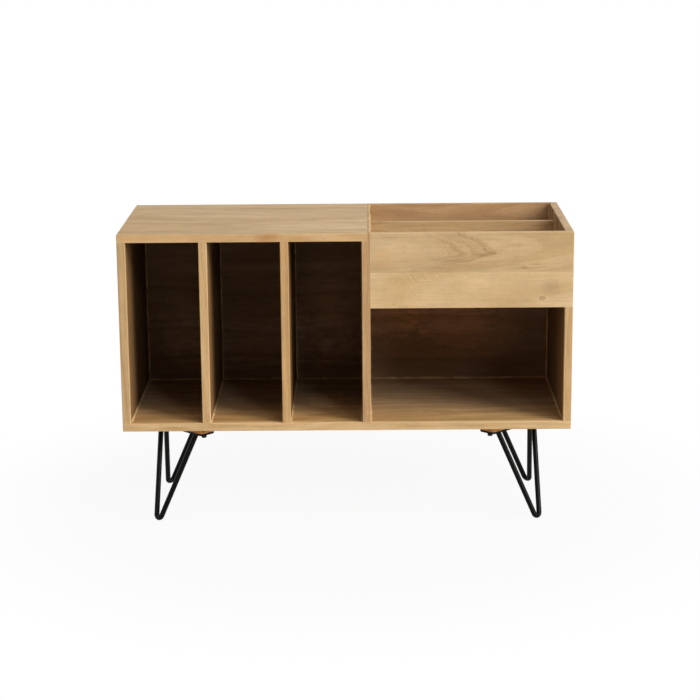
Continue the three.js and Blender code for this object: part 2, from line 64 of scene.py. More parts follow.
Feed = Union[float, Sequence[float], bpy.types.NodeSocket]

BODY = "root"
MILLIMETRE = 0.001

# Where the boards' faces lie, in metres. A pair goes from the lower face to the higher one.
FRONT_Y = -0.225
BACK_BOARD_Y = 0.213
BASE_TOP_Z = 0.270
TOP_UNDERSIDE_Z = 0.720
SLOT_SIDES = ((-0.530, -0.3535), (-0.3335, -0.157), (-0.137, 0.0395))
BAY_SIDES = (0.0595, 0.530)
BIN_FLOOR_Z = (0.565, 0.577)
BIN_FRONT_Y = -0.209
BIN_DIVIDER_Y = (0.052, 0.064)

# Where the painted shade and the beads start behind the front, and where the bin's beads end, in metres.
ROOM_MOUTH_Y = -0.2225
BEAD_MOUTH_Y = -0.222
BEAD_TOP_Z = 0.7385

log = logging.getLogger("record_stand")


def shade(red: int, green: int, blue: int) -> Colour:
    """Turns a colour as a screen shows it, 0 to 255, into the linear light that a shader takes.

    Each channel c in 0..1 becomes ((c + 0.055) / 1.055) ** 2.4.

    Args:
        red: Red channel.
        green: Green channel.
        blue: Blue channel.

    Returns:
        The three linear channels.
    """
    return tuple(((c / 255 + 0.055) / 1.055) ** 2.4 for c in (red, green, blue))


class Lay(Enum):
    """Which of X, Y and Z run along a board's fibres, across its width and through it."""

    FLAT = (0, 1, 2)
    FACING = (0, 2, 1)
    UPRIGHT = (2, 1, 0)


class NodeSheet:
    """A node tree that is written in short calls, each of which gives back an output."""

    # Numbers of the mix node's colour sockets, since its sockets for other kinds share their names.
    MIX_FIRST = 6
    MIX_SECOND = 7
    MIX_RESULT = 2

    def __init__(self, tree: bpy.types.NodeTree) -> None:
        """Starts on a tree.

        Args:
            tree: The tree that takes the nodes.
        """
        self.tree = tree

    def node(self, kind: str, **settings: object) -> bpy.types.Node:
        """Adds a node.

        Args:
            kind: Blender's name for the node's type.
            settings: Properties to set on it.

        Returns:
            The new node.
        """
        node = self.tree.nodes.new(kind)
        for name, value in settings.items():
            setattr(node, name, value)
        return node

    def feed(self, socket: bpy.types.NodeSocket, value: Feed) -> None:
        """Links an output to a socket, or sets a plain number, vector or colour on it.

        Args:
            socket: The input that takes the value.
            value: Another node's output, or a plain value.
        """
        if isinstance(value, bpy.types.NodeSocket):
            self.tree.links.new(value, socket)
        elif socket.type == "RGBA":
            socket.default_value = (*value, 1.0)
        else:
            socket.default_value = value

    def math(self, operation: str, a: Feed, b: Feed = 0.0) -> bpy.types.NodeSocket:
        """Works out one step of arithmetic on one or two numbers.

        Args:
            operation: Blender's name for the step.
            a: The first number.
            b: The second number, if the step takes one.

        Returns:
            The result.
        """
        node = self.node("ShaderNodeMath", operation=operation)
        self.feed(node.inputs[0], a)
        self.feed(node.inputs[1], b)
        return node.outputs[0]

    def vector(self, operation: str, a: Feed, b: Feed = (0.0, 0.0, 0.0)) -> bpy.types.NodeSocket:
        """Works out one step of arithmetic on one or two vectors.

        Args:
            operation: Blender's name for the step.
            a: The first vector.
            b: The second vector, if the step takes one.

        Returns:
            The result: a number for a length or a dot product, a vector for all else.
        """
        node = self.node("ShaderNodeVectorMath", operation=operation)
        self.feed(node.inputs[0], a)
        self.feed(node.inputs[1], b)
        return node.outputs["Value" if operation in ("LENGTH", "DOT_PRODUCT") else "Vector"]

    def split(self, vector: Feed) -> tuple[bpy.types.NodeSocket, ...]:
        """Takes a vector apart.

        Args:
            vector: The vector.

        Returns:
            Its three numbers.
        """
        node = self.node("ShaderNodeSeparateXYZ")
        self.feed(node.inputs[0], vector)
        return tuple(node.outputs)

    def join(self, parts: Sequence[Feed]) -> bpy.types.NodeSocket:
        """Puts three numbers together.

        Args:
            parts: The three numbers.

        Returns:
            The vector.
        """
        node = self.node("ShaderNodeCombineXYZ")
        for socket, part in zip(node.inputs, parts):
            self.feed(socket, part)
        return node.outputs[0]

    def span(
        self, value: Feed, low: float, high: float, start: Feed = 0.0, end: Feed = 1.0
    ) -> bpy.types.NodeSocket:
        """Maps one range of numbers onto another along an S curve, and holds the ends.

        Args:
            value: The number to map.
            low: Where the first range starts.
            high: Where it ends.
            start: What low and all before it become.
            end: What high and all past it become.

        Returns:
            The mapped number.
        """
        node = self.node("ShaderNodeMapRange", interpolation_type="SMOOTHSTEP")
        for name, part in (
            ("Value", value),
            ("From Min", low),
            ("From Max", high),
            ("To Min", start),
            ("To Max", end),
        ):
            self.feed(node.inputs[name], part)
        return node.outputs[0]

    def noise(
        self, place: Feed, stretch: Point, detail: float = 2.0, rough: float = 0.5
    ) -> bpy.types.NodeSocket:
        """Reads cloudy noise at a place.

        Args:
            place: The place.
            stretch: Steps of the noise per metre along each axis.
            detail: How many finer noises are laid over the first.
            rough: Share of each finer noise.

        Returns:
            The noise, 0 to 1.
        """
        node = self.node("ShaderNodeTexNoise", noise_dimensions="3D")
        self.feed(node.inputs["Vector"], self.vector("MULTIPLY", place, stretch))
        return self._read_noise(node, detail, rough)

    def line_noise(self, at: Feed, detail: float = 2.0, rough: float = 0.5) -> bpy.types.NodeSocket:
        """Reads noise along one line.

        Args:
            at: Where on the line, in steps of the noise.
            detail: How many finer noises are laid over the first.
            rough: Share of each finer noise.

        Returns:
            The noise, 0 to 1.
        """
        node = self.node("ShaderNodeTexNoise", noise_dimensions="1D")
        self.feed(node.inputs["W"], at)
        return self._read_noise(node, detail, rough)

    def _read_noise(self, node: bpy.types.Node, detail: float, rough: float) -> bpy.types.NodeSocket:
        """Sets a noise node's detail.

        Args:
            node: The noise node.
            detail: How many finer noises are laid over the first.
            rough: Share of each finer noise.

        Returns:
            The noise, 0 to 1.
        """
        self.feed(node.inputs["Scale"], 1.0)
        self.feed(node.inputs["Detail"], detail)
        self.feed(node.inputs["Roughness"], rough)
        return node.outputs["Fac"]

    def blend(self, share: Feed, first: Feed, second: Feed, kind: str = "MIX") -> bpy.types.NodeSocket:
        """Mixes two colours.

        Args:
            share: Share of the mix, 0 to 1.
            first: The first colour.
            second: The second colour.
            kind: Blender's name for the way they mix.

        Returns:
            The mixed colour.
        """
        node = self.node("ShaderNodeMix", data_type="RGBA", blend_type=kind, clamp_factor=True)
        self.feed(node.inputs["Factor"], share)
        self.feed(node.inputs[self.MIX_FIRST], first)
        self.feed(node.inputs[self.MIX_SECOND], second)
        return node.outputs[self.MIX_RESULT]

    def place(self) -> bpy.types.NodeSocket:
        """Gives the place in the frame, in metres."""
        return self.node("ShaderNodeTexCoord").outputs["Object"]

    def facing(self) -> bpy.types.NodeSocket:
        """Gives how far the face looks along X, Y and Z, each 0 to 1."""
        return self.vector("ABSOLUTE", self.node("ShaderNodeTexCoord").outputs["Normal"])

    def swing(self, value: Feed, amount: Feed) -> bpy.types.NodeSocket:
        """Turns a number in 0..1 into one that swings about 0 by this amount from end to end."""
        return self.math("MULTIPLY", self.math("SUBTRACT", value, 0.5), amount)

    def distance(self, point: Feed, centre: Point, reach: Sequence[float]) -> bpy.types.NodeSocket:
        """Measures the way from a ball's centre to a place: 1 where the place is at its reach."""
        away = self.vector("SUBTRACT", point, centre)
        return self.vector("LENGTH", self.vector("MULTIPLY", away, tuple(1 / half for half in reach)))

    def bump(self, shader: bpy.types.Node, height: Feed, strength: float, depth: float) -> None:
        """Lets a height show in the light on a shader.

        Args:
            shader: The shader node.
            height: The height, 0 to 1.
            strength: How strongly it shows, 0 to 1.
            depth: How deep it is, in metres.
        """
        bump = self.node("ShaderNodeBump")
        bump.inputs["Strength"].default_value = strength
        bump.inputs["Distance"].default_value = depth
        self.feed(bump.inputs["Height"], height)
        self.feed(shader.inputs["Normal"], bump.outputs[0])


def new_material(name: str) -> tuple[bpy.types.Material, NodeSheet, bpy.types.Node]:
    """Starts a material that holds only its shader and output.

    Args:
        name: The finish's name.

    Returns:
        The material, its sheet of nodes and its shader node.
    """
    material = bpy.data.materials.new(name)
    material.use_nodes = True
    sheet = NodeSheet(material.node_tree)
    return material, sheet, material.node_tree.nodes["Principled BSDF"]


def new_object(name: str, data: bpy.types.ID) -> bpy.types.Object:
    """Adds an object to the scene.

    Args:
        name: The object's name.
        data: Its mesh, lamp or camera.

    Returns:
        The object.
    """
    made = bpy.data.objects.new(name, data)
    bpy.context.scene.collection.objects.link(made)
    return made


@dataclass(frozen=True)
class Tones:
    """The colours that one board runs through.

    Attributes:
        pale: The lightest wood.
        golden: The wood between, in broad rings.
        brown: Streaks and dark rings.
        pore: The pores and the rings of knots.
    """

    pale: Colour
    golden: Colour
    brown: Colour
    pore: Colour


CABINET_TONES = Tones(shade(214, 178, 130), shade(200, 160, 110), shade(166, 124, 78), shade(118, 82, 50))
# Greyer than the cabinet's tones, a painted sheen, and a little darker, painted shade against the lamps that
# light the top more.
TOP_TONES = Tones(shade(208, 177, 134), shade(191, 157, 112), shade(158, 122, 80), shade(118, 84, 53))
# Darker than the cabinet's tones: painted shade for the backs of the compartments.
BACK_TONES = Tones(shade(193, 154, 111), shade(177, 138, 96), shade(142, 104, 66), shade(98, 68, 42))
# Darker than the cabinet's tones: painted shade for the divider inside the bin.
DIVIDER_TONES = Tones(shade(202, 168, 122), shade(186, 150, 104), shade(152, 114, 72), shade(108, 76, 46))
BIN_FRONT_TONES = Tones(shade(217, 185, 140), shade(203, 168, 120), shade(168, 131, 88), shade(118, 84, 52))
# Orange-brown wood, made lighter than it is: painted light on the blocks in the cabinet's shadow.
BLOCK_TONES = Tones(shade(240, 180, 110), shade(222, 152, 84), shade(172, 104, 52), shade(84, 40, 20))
DOWEL_TONES = Tones(shade(224, 202, 160), shade(210, 184, 138), shade(188, 156, 110), shade(150, 116, 76))

# What cut ends multiply a board's colour by, between the pores and in them.
END_GRAIN_TINT = (0.82, 0.85, 0.91)
END_GRAIN_PORES = (0.55, 0.50, 0.45)

# X and Z of the tip of the arches on the bin's upper front board, in metres.
ARCH_TIP = (0.376, 0.688)


@dataclass(frozen=True)
class Knot:
    """A small knot that shows on one face.

    Attributes:
        centre: Its middle in the frame, in metres.
        reach: Its half size along X, Y and Z, in metres.
        strength: Share of the knot's own colour at its ring.
        swirl: How far it pushes the fibres around it aside, as a share.
    """

    centre: Point
    reach: Point
    strength: float = 0.6
    swirl: float = 0.0


@dataclass(frozen=True)
class Blush:
    """A soft patch where the wood's colour turns.

    Attributes:
        centre: Its middle in the frame, in metres.
        reach: Its half size along X, Y and Z, in metres.
        colour: The colour that it turns to.
        strength: Share of that colour in the middle.
        stain: Whether the colour multiplies the wood's own, rather than covering it; a multiplied patch is a
            stain, or painted light on the back boards and a slot floor.
    """

    centre: Point
    reach: Point
    colour: Colour
    strength: float = 1.0
    stain: bool = False


def front_stain(
    place: tuple[float, float],
    half: tuple[float, float],
    tint: Colour,
    strength: float = 1.0,
    deep: float = 0.03,
) -> Blush:
    """Makes a stain on the cabinet's front.

    Args:
        place: X and Z of its middle, in metres.
        half: Its half size along X and Z, in metres.
        tint: What it multiplies the wood's colour by.
        strength: Share of the tint in the middle.
        deep: How far it reaches back from the front, in metres.

    Returns:
        The stain.
    """
    return Blush((place[0], FRONT_Y, place[1]), (half[0], deep, half[1]), tint, strength, stain=True)


def back_light_patch(place: tuple[float, float], half: tuple[float, float], tint: Colour) -> Blush:
    """Makes a patch of painted light on the inner face of a back board.

    Args:
        place: X and Z of its middle, in metres.
        half: Its half size along X and Z, in metres.
        tint: What it multiplies the wood's colour by.

    Returns:
        The stain.
    """
    centre = (place[0], BACK_BOARD_Y - 1 * MILLIMETRE, place[1])
    return Blush(centre, (half[0], 8 * MILLIMETRE, half[1]), tint, stain=True)


@dataclass(frozen=True)
class Arch:
    """Fine growth lines that nest in pointed arches, drawn on a board that faces the front.

    Attributes:
        tip: X and Z of the last arch's tip, in metres. The arches open to the left.
        rise: Metres up per metre to the left, along the upper arms.
        fall: Metres down per metre to the left, along the lower arms.
        reach: How far to the left of the tip the arches go on, in metres.
        pitch: Lines per metre.
        strength: Share of brown in a line.
        soft: How slowly a line fades at its sides.
    """

    tip: tuple[float, float]
    rise: float
    fall: float
    reach: float
    pitch: float
    strength: float
    soft: float = 0.075


@dataclass(frozen=True)
class Ripple:
    """A patch of fine bars that cross the fibres aslant, as figured wood has.

    Attributes:
        centre: Its middle in the frame, in metres.
        reach: Its half size along X, Y and Z, in metres.
        onward: X and Z of the direction in which one bar follows the next.
        pitch: Bars per metre.
        depth: Share of light between a bar and its neighbour.
    """

    centre: Point
    reach: Point
    onward: tuple[float, float] = (0.83, 0.55)
    pitch: float = 210.0
    depth: float = 0.3


@dataclass(frozen=True)
class PaintedShadeRoom:
    """A compartment whose inner faces are darkened by painted shade.

    Attributes:
        low: Its lowest corner in the frame, in metres.
        high: Its highest corner in the frame, in metres.
        mouth_tint: What the painted shade multiplies the wood's colour by near the mouth.
        deep_tint: What it multiplies it by deep inside.
        wall_tint: What the painted shade multiplies the side walls' colour by near the mouth.
        wall_share: Share of light that the walls keep deep inside.
    """

    low: Point
    high: Point
    mouth_tint: Colour = (0.70, 0.62, 0.47)
    deep_tint: Colour = (0.68, 0.68, 0.76)
    wall_tint: Colour = (0.34, 0.28, 0.22)
    wall_share: float = 0.68


# Compartments whose inner faces take painted shade: deep in the slots and the bay, faint in the bin but for
# its side walls.
SLOTS_ROOM = PaintedShadeRoom(
    low=(SLOT_SIDES[0][0], ROOM_MOUTH_Y, BASE_TOP_Z),
    high=(SLOT_SIDES[-1][1], BACK_BOARD_Y, TOP_UNDERSIDE_Z),
)
BAY_ROOM = PaintedShadeRoom(
    low=(BAY_SIDES[0], ROOM_MOUTH_Y, BASE_TOP_Z),
    high=(BAY_SIDES[1], BACK_BOARD_Y, BIN_FLOOR_Z[0]),
    mouth_tint=(0.74, 0.68, 0.56),
)
BIN_ROOM = PaintedShadeRoom(
    low=(BAY_SIDES[0], BIN_FRONT_Y, BIN_FLOOR_Z[1]),
    high=(BAY_SIDES[1], BACK_BOARD_Y, 0.745),
    mouth_tint=(0.97, 0.97, 0.97),
    deep_tint=(0.97, 0.97, 0.97),
    wall_tint=(0.64, 0.63, 0.61),
    wall_share=1.0,
)


class MangoFigure:
    """The shared group of nodes that draws growth rings, streaks, fibres and pores."""

    NAME = "mango_figure"
    INPUTS = (
        ("Place", "NodeSocketVector"),
        ("Seed", "NodeSocketFloat"),
        ("Stave", "NodeSocketFloat"),
        ("Pith", "NodeSocketVector"),
        ("Slope", "NodeSocketVector"),
        ("Wander", "NodeSocketFloat"),
        ("Ring pitch", "NodeSocketFloat"),
        ("Ring depth", "NodeSocketFloat"),
        ("Streaks", "NodeSocketFloat"),
        ("Mottle", "NodeSocketFloat"),
        ("Pale", "NodeSocketColor"),
        ("Golden", "NodeSocketColor"),
        ("Brown", "NodeSocketColor"),
        ("Pore", "NodeSocketColor"),
    )
    OUTPUTS = (
        ("Colour", "NodeSocketColor"),
        ("Roughness", "NodeSocketFloat"),
        ("Height", "NodeSocketFloat"),
    )

    # Steps of each pattern per metre along the fibres, across them and through the board.
    STREAK_STEPS = (3.2, 60.0, 60.0)
    PATCH_STEPS = (15.0, 30.0, 30.0)
    CLOUD_STEPS = (3.0, 8.0, 8.0)
    BAR_STEPS = (95.0, 16.0, 16.0)
    GRAIN_STEPS = (7.0, 190.0, 190.0)
    FIBRE_STEPS = (24.0, 620.0, 620.0)
    PORE_STEPS = (110.0, 1250.0, 1250.0)
    RIPPLE_STEPS = (9.0, 38.0, 38.0)

    # Share of the light that each pattern swings by, and share of the pores' colour in a pore.
    CLOUD_SWING = 0.16
    BAR_SWING = 0.07
    GRAIN_SWING = 0.20
    FIBRE_SWING = 0.26
    STAVE_SWING = 0.07
    PORE_SHARE = 0.24

    # How far a ripple shifts a ring, in metres, and how much finer the thin rings are.
    RIPPLE_SWING = 0.012
    THIN_RINGS = 3.7

    @classmethod
    def group(cls) -> bpy.types.NodeTree:
        """Gives the group, made at the first call."""
        return bpy.data.node_groups.get(cls.NAME) or cls._make()

    @classmethod
    def _make(cls) -> bpy.types.NodeTree:
        """Builds the group.

        A growth ring is a surface at one distance from the pith line, which slopes and wanders
        slowly along the board, so that a flat face cuts the rings into arches. Each stave
        has its own place in the tree, taken from chance numbers of the stave.

        Returns:
            The group.
        """
        tree = bpy.data.node_groups.new(cls.NAME, "ShaderNodeTree")
        for name, kind in cls.INPUTS:
            tree.interface.new_socket(name=name, in_out="INPUT", socket_type=kind)
        for name, kind in cls.OUTPUTS:
            tree.interface.new_socket(name=name, in_out="OUTPUT", socket_type=kind)
        sheet = NodeSheet(tree)
        given = sheet.node("NodeGroupInput").outputs
        chance, stave_middle = cls._stave(sheet, given)
        place = sheet.vector("ADD", given["Place"], sheet.vector("MULTIPLY", chance, (7.0, 0.0, 0.0)))
        broad, thin = cls._rings(sheet, given, place, chance, stave_middle)
        jump = sheet.vector("MULTIPLY", chance, (9.0, 5.0, 3.0))
        own_place = sheet.vector("ADD", given["Place"], jump)
        own_place = sheet.vector("ADD", own_place, sheet.join((given["Seed"],) * 3))

        streak = sheet.span(sheet.noise(own_place, cls.STREAK_STEPS, 3.0, 0.6), 0.50, 0.72)
        patch = sheet.noise(own_place, cls.PATCH_STEPS, 3.0, 0.6)
        cloud = sheet.noise(own_place, cls.CLOUD_STEPS, 2.0, 0.5)
        bars = sheet.noise(own_place, cls.BAR_STEPS, 1.0, 0.5)
        bars = sheet.math("MULTIPLY", bars, sheet.span(cloud, 0.42, 0.62))
        grain = sheet.noise(own_place, cls.GRAIN_STEPS, 4.0, 0.65)
        fibre = sheet.noise(own_place, cls.FIBRE_STEPS, 2.0, 0.6)
        pore = sheet.span(sheet.noise(own_place, cls.PORE_STEPS, 1.0, 0.5), 0.62, 0.72)

        colour = sheet.blend(sheet.span(broad, 0.30, 0.70), given["Pale"], given["Golden"])
        for share, most, tone in (
            (sheet.span(thin, 0.50, 0.72), given["Ring depth"], given["Brown"]),
            (streak, given["Streaks"], given["Brown"]),
            (pore, cls.PORE_SHARE, given["Pore"]),
        ):
            colour = sheet.blend(sheet.math("MULTIPLY", share, most), colour, tone)

        light = 1.0
        for pattern, amount in (
            (patch, given["Mottle"]),
            (cloud, cls.CLOUD_SWING),
            (bars, cls.BAR_SWING),
            (grain, cls.GRAIN_SWING),
            (fibre, cls.FIBRE_SWING),
            (sheet.split(chance)[0], cls.STAVE_SWING),
        ):
            light = sheet.math("ADD", sheet.swing(pattern, amount), light)
        colour = sheet.blend(1.0, colour, sheet.join((light, light, light)), "MULTIPLY")

        rough = sheet.math("ADD", sheet.math("MULTIPLY", fibre, 0.16), 0.64)
        height = sheet.math("SUBTRACT", sheet.math("MULTIPLY", fibre, 0.5), sheet.math("MULTIPLY", pore, 0.5))
        taken = sheet.node("NodeGroupOutput").inputs
        sheet.feed(taken["Colour"], colour)
        sheet.feed(taken["Roughness"], rough)
        sheet.feed(taken["Height"], height)
        return tree

    @staticmethod
    def _stave(sheet: NodeSheet, given: Sequence[bpy.types.NodeSocket]) -> tuple[bpy.types.NodeSocket, ...]:
        """Finds the stave at a place: its number is the place across over the stave's width, rounded.

        Args:
            sheet: The group's sheet of nodes.
            given: The group's inputs.

        Returns:
            Three chance numbers of the stave, as a vector, and the place of its middle across.
        """
        across = sheet.split(given["Place"])[1]
        number = sheet.math("FLOOR", sheet.math("ADD", sheet.math("DIVIDE", across, given["Stave"]), 0.5))
        dice = sheet.node("ShaderNodeTexWhiteNoise", noise_dimensions="2D")
        sheet.feed(dice.inputs["Vector"], sheet.join((number, given["Seed"], 0.0)))
        middle = sheet.math("MULTIPLY", number, given["Stave"])
        return sheet.vector("ADD", dice.outputs["Color"], (0.0, 0.0, 0.0)), middle

    @classmethod
    def _rings(
        cls,
        sheet: NodeSheet,
        given: Sequence[bpy.types.NodeSocket],
        place: bpy.types.NodeSocket,
        chance: bpy.types.NodeSocket,
        middle: bpy.types.NodeSocket,
    ) -> tuple[bpy.types.NodeSocket, bpy.types.NodeSocket]:
        """Draws the growth rings: noises read at the distance from the pith times the ring pitch.

        Args:
            sheet: The group's sheet of nodes.
            given: The group's inputs.
            place: The place in the stave's own wood.
            chance: Three chance numbers of the stave.
            middle: The place of the stave's middle across.

        Returns:
            The broad rings and the thin rings, each 0 to 1.
        """
        along, across, through = sheet.split(place)
        true_along = sheet.split(given["Place"])[0]
        _, pith_across, pith_through = sheet.split(given["Pith"])
        _, slope_across, slope_through = sheet.split(given["Slope"])
        _, chance_across, chance_through = sheet.split(chance)
        waves = []
        for rate, start in ((1.7, 3.1), (1.3, 11.7)):
            wave = sheet.line_noise(sheet.math("ADD", sheet.math("MULTIPLY", along, rate), start), 1.0)
            waves.append(sheet.swing(wave, given["Wander"]))
        ripple = sheet.swing(sheet.noise(place, cls.RIPPLE_STEPS, 3.0, 0.55), cls.RIPPLE_SWING)
        distances = []
        for axis, pith, slope, dice, wave in (
            (sheet.math("SUBTRACT", across, middle), pith_across, slope_across, chance_across, waves[0]),
            (through, pith_through, slope_through, chance_through, waves[1]),
        ):
            line = sheet.math("ADD", pith, sheet.math("MULTIPLY", slope, true_along))
            line = sheet.math("ADD", sheet.math("ADD", line, sheet.swing(dice, given["Wander"])), wave)
            distances.append(sheet.math("ADD", sheet.math("SUBTRACT", axis, line), ripple))
        radius = sheet.vector("LENGTH", sheet.join((0.0, *distances)))
        steps = sheet.math("MULTIPLY", radius, given["Ring pitch"])
        broad = sheet.line_noise(sheet.math("ADD", steps, given["Seed"]), 1.0, 0.5)
        thin = sheet.line_noise(sheet.math("MULTIPLY", steps, cls.THIN_RINGS), 2.0, 0.6)
        return broad, thin


@dataclass(frozen=True)
class BoardFinish:
    """Clear matt lacquer on one board of solid mango.

    Attributes:
        lay: How the board lies.
        seed: Sets this board's figure apart from every other's.
        tones: The colours of its wood.
        stave: Width of the strips that it is glued up from, in metres.
        pith: Where the rings' middle line lies from the board's middle: along, across, through.
        slope: How that line leaves the board's direction, as metres per metre.
        wander: How far the line sways, in metres.
        ring_pitch: Noise steps per metre of ring distance.
        ring_depth: Share of brown in the darkest rings.
        streaks: Share of brown in long dark streaks.
        mottle: Depth of the light and dark bars across the fibres.
        edge_highlight: Share of painted highlight, in pale wood, along the edges.
        turn: Turn of the board about Z, in radians.
        knots: Knots on its faces.
        blushes: Patches of another colour.
        arches: Arches of fine growth lines on its front.
        ripples: Patches of fine bars across its fibres.
        shaded_rooms: Compartments that it borders, whose painted shade it takes on.
        light: What its tones are multiplied by.
    """

    lay: Lay
    seed: float
    tones: Tones = CABINET_TONES
    stave: float = 0.115
    pith: Point = (0.0, 0.0, -0.06)
    slope: Point = (0.0, 0.0, 0.0)
    wander: float = 0.06
    ring_pitch: float = 60.0
    ring_depth: float = 0.28
    streaks: float = 0.22
    mottle: float = 0.24
    edge_highlight: float = 0.35
    turn: float = 0.0
    knots: tuple[Knot, ...] = ()
    blushes: tuple[Blush, ...] = ()
    arches: tuple[Arch, ...] = ()
    ripples: tuple[Ripple, ...] = ()
    shaded_rooms: tuple[PaintedShadeRoom, ...] = ()
    light: float = 1.0

    # Noises that push an arch's lines about: steps per metre, and metres of the push.
    ARCH_SWAYS: ClassVar = (((16.0, 16.0, 50.0), 0.07), ((70.0, 70.0, 380.0), 0.022))
    # Value of the lines' noise at a line's side.
    ARCH_EDGE: ClassVar[float] = 0.56
    # Noise on the border of a soft ball: steps per metre, and share of the ball's reach.
    BORDER_STEPS: ClassVar[Point] = (40.0, 40.0, 90.0)
    BORDER_RAG: ClassVar[float] = 0.9
    # Noise that sways a ripple's bars: steps per metre, and bars of the sway.
    SWAY_STEPS: ClassVar[Point] = (30.0, 30.0, 60.0)
    RIPPLE_SWAY: ClassVar[float] = 3.0
    # Noise on a knot: steps per metre, share of its reach, and where its ring lies in that reach.
    KNOT_STEPS: ClassVar[Point] = (90.0, 90.0, 90.0)
    KNOT_UNEVEN: ClassVar[float] = 0.3
    KNOT_RING: ClassVar[float] = 0.85

    def material(self, name: str, corners: tuple[Vector, Vector]) -> bpy.types.Material:
        """Makes the finish for a board.

        Args:
            name: The board's node.
            corners: Lowest and highest corner of the board.

        Returns:
            The material.
        """
        material, sheet, shader = new_material(f"{name}_mango")
        low, high = corners
        middle = (low + high) / 2
        point = sheet.place()
        place = self._board_place(sheet, point, middle)
        figure = sheet.node("ShaderNodeGroup", node_tree=MangoFigure.group())
        for socket, value in (
            ("Place", place),
            ("Seed", self.seed),
            ("Stave", self.stave),
            ("Pith", self.pith),
            ("Slope", self.slope),
            ("Wander", self.wander),
            ("Ring pitch", self.ring_pitch),
            ("Ring depth", self.ring_depth),
            ("Streaks", self.streaks),
            ("Mottle", self.mottle),
            ("Pale", self._lit(self.tones.pale)),
            ("Golden", self._lit(self.tones.golden)),
            ("Brown", self._lit(self.tones.brown)),
            ("Pore", self._lit(self.tones.pore)),
        ):
            sheet.feed(figure.inputs[socket], value)
        colour = figure.outputs["Colour"]
        for arch in self.arches:
            colour = self._arch(sheet, colour, point, arch)
        for ripple in self.ripples:
            colour = self._ripple(sheet, colour, point, ripple)
        for blush in self.blushes:
            colour = self._patch(sheet, colour, point, blush)
        for knot in self.knots:
            colour = self._knot(sheet, colour, point, knot)
        colour = self._end_grain(sheet, colour, place)
        # Painted shade on the faces inside the compartments.
        for room in self.shaded_rooms:
            colour = self._painted_shade(sheet, colour, point, room)
        # Painted highlight along the edges.
        if self.edge_highlight:
            colour = self._painted_edge_highlight(sheet, colour, point, middle, (high - low) / 2)
        sheet.feed(shader.inputs["Base Color"], colour)
        sheet.feed(shader.inputs["Roughness"], figure.outputs["Roughness"])
        shader.inputs["Specular IOR Level"].default_value = 0.15
        sheet.bump(shader, figure.outputs["Height"], 0.35, 0.12 * MILLIMETRE)
        return material

    def dress(self, node: bpy.types.Object) -> None:
        """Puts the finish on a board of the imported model."""
        dress_node(node, self.material(node.name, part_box(node.name)))

    def _lit(self, colour: Colour) -> Colour:
        """Makes a colour as much lighter as this board is."""
        return tuple(min(1.0, self.light * c) for c in colour)

    def _board_place(self, sheet: NodeSheet, point: Feed, middle: Vector) -> bpy.types.NodeSocket:
        """Finds the place in the board's own directions, from its middle, with knots pushing it aside.

        A knot pushes by its swirl times the way from its centre, less and less up to 2.2 times its
        reach.

        Args:
            sheet: The finish's sheet of nodes.
            point: The place in the frame.
            middle: Middle of the board.

        Returns:
            The place along the fibres, across them and through the board.
        """
        moved = point
        for knot in self.knots:
            if knot.swirl:
                away = sheet.vector("SUBTRACT", point, knot.centre)
                distance = sheet.distance(point, knot.centre, [2.2 * reach for reach in knot.reach])
                push = sheet.span(distance, 0.0, 1.0, knot.swirl, 0.0)
                shift = sheet.vector("MULTIPLY", away, sheet.join((push, push, push)))
                moved = sheet.vector("SUBTRACT", moved, shift)
        centred = sheet.vector("SUBTRACT", moved, tuple(middle))
        if self.turn:
            turned = sheet.node("ShaderNodeVectorRotate", rotation_type="Z_AXIS")
            sheet.feed(turned.inputs["Vector"], centred)
            turned.inputs["Angle"].default_value = -self.turn
            centred = turned.outputs[0]
        parts = sheet.split(centred)
        return sheet.join([parts[axis] for axis in self.lay.value])

    def _arch(self, sheet: NodeSheet, colour: Feed, point: Feed, arch: Arch) -> bpy.types.NodeSocket:
        """Draws nested arches.

        Each line is where one number is the same: metres to the left of the tip, less the height
        off the arch's axis over the arm's slope, pushed about by a wide and a fine noise. A noise
        on that number gives the lines, which fade out at the tip and at the end of their reach.

        Args:
            sheet: The finish's sheet of nodes.
            colour: The colour so far.
            point: The place in the frame.
            arch: The arches to draw.

        Returns:
            The colour with the arches.
        """
        x, _, z = sheet.split(point)
        height = sheet.math("SUBTRACT", z, arch.tip[1])
        above = sheet.math("MAXIMUM", height, 0.0)
        below = sheet.math("MAXIMUM", sheet.math("SUBTRACT", 0.0, height), 0.0)
        above = sheet.math("DIVIDE", above, arch.rise)
        below = sheet.math("DIVIDE", below, arch.fall)
        to_left = sheet.math("SUBTRACT", arch.tip[0], x)
        number = sheet.math("SUBTRACT", to_left, sheet.math("ADD", above, below))
        for steps, amount in self.ARCH_SWAYS:
            push = sheet.swing(sheet.noise(point, steps, 3.0, 0.6), amount)
            number = sheet.math("ADD", number, push)
        lines = sheet.line_noise(sheet.math("MULTIPLY", number, arch.pitch), 3.0, 0.6)
        share = sheet.span(lines, self.ARCH_EDGE - arch.soft, self.ARCH_EDGE + arch.soft, 0.0, arch.strength)
        share = sheet.math("MULTIPLY", share, sheet.span(number, -0.01, 0.02))
        share = sheet.math("MULTIPLY", share, sheet.span(to_left, 0.5 * arch.reach, arch.reach, 1.0, 0.0))
        return sheet.blend(share, colour, self.tones.brown)

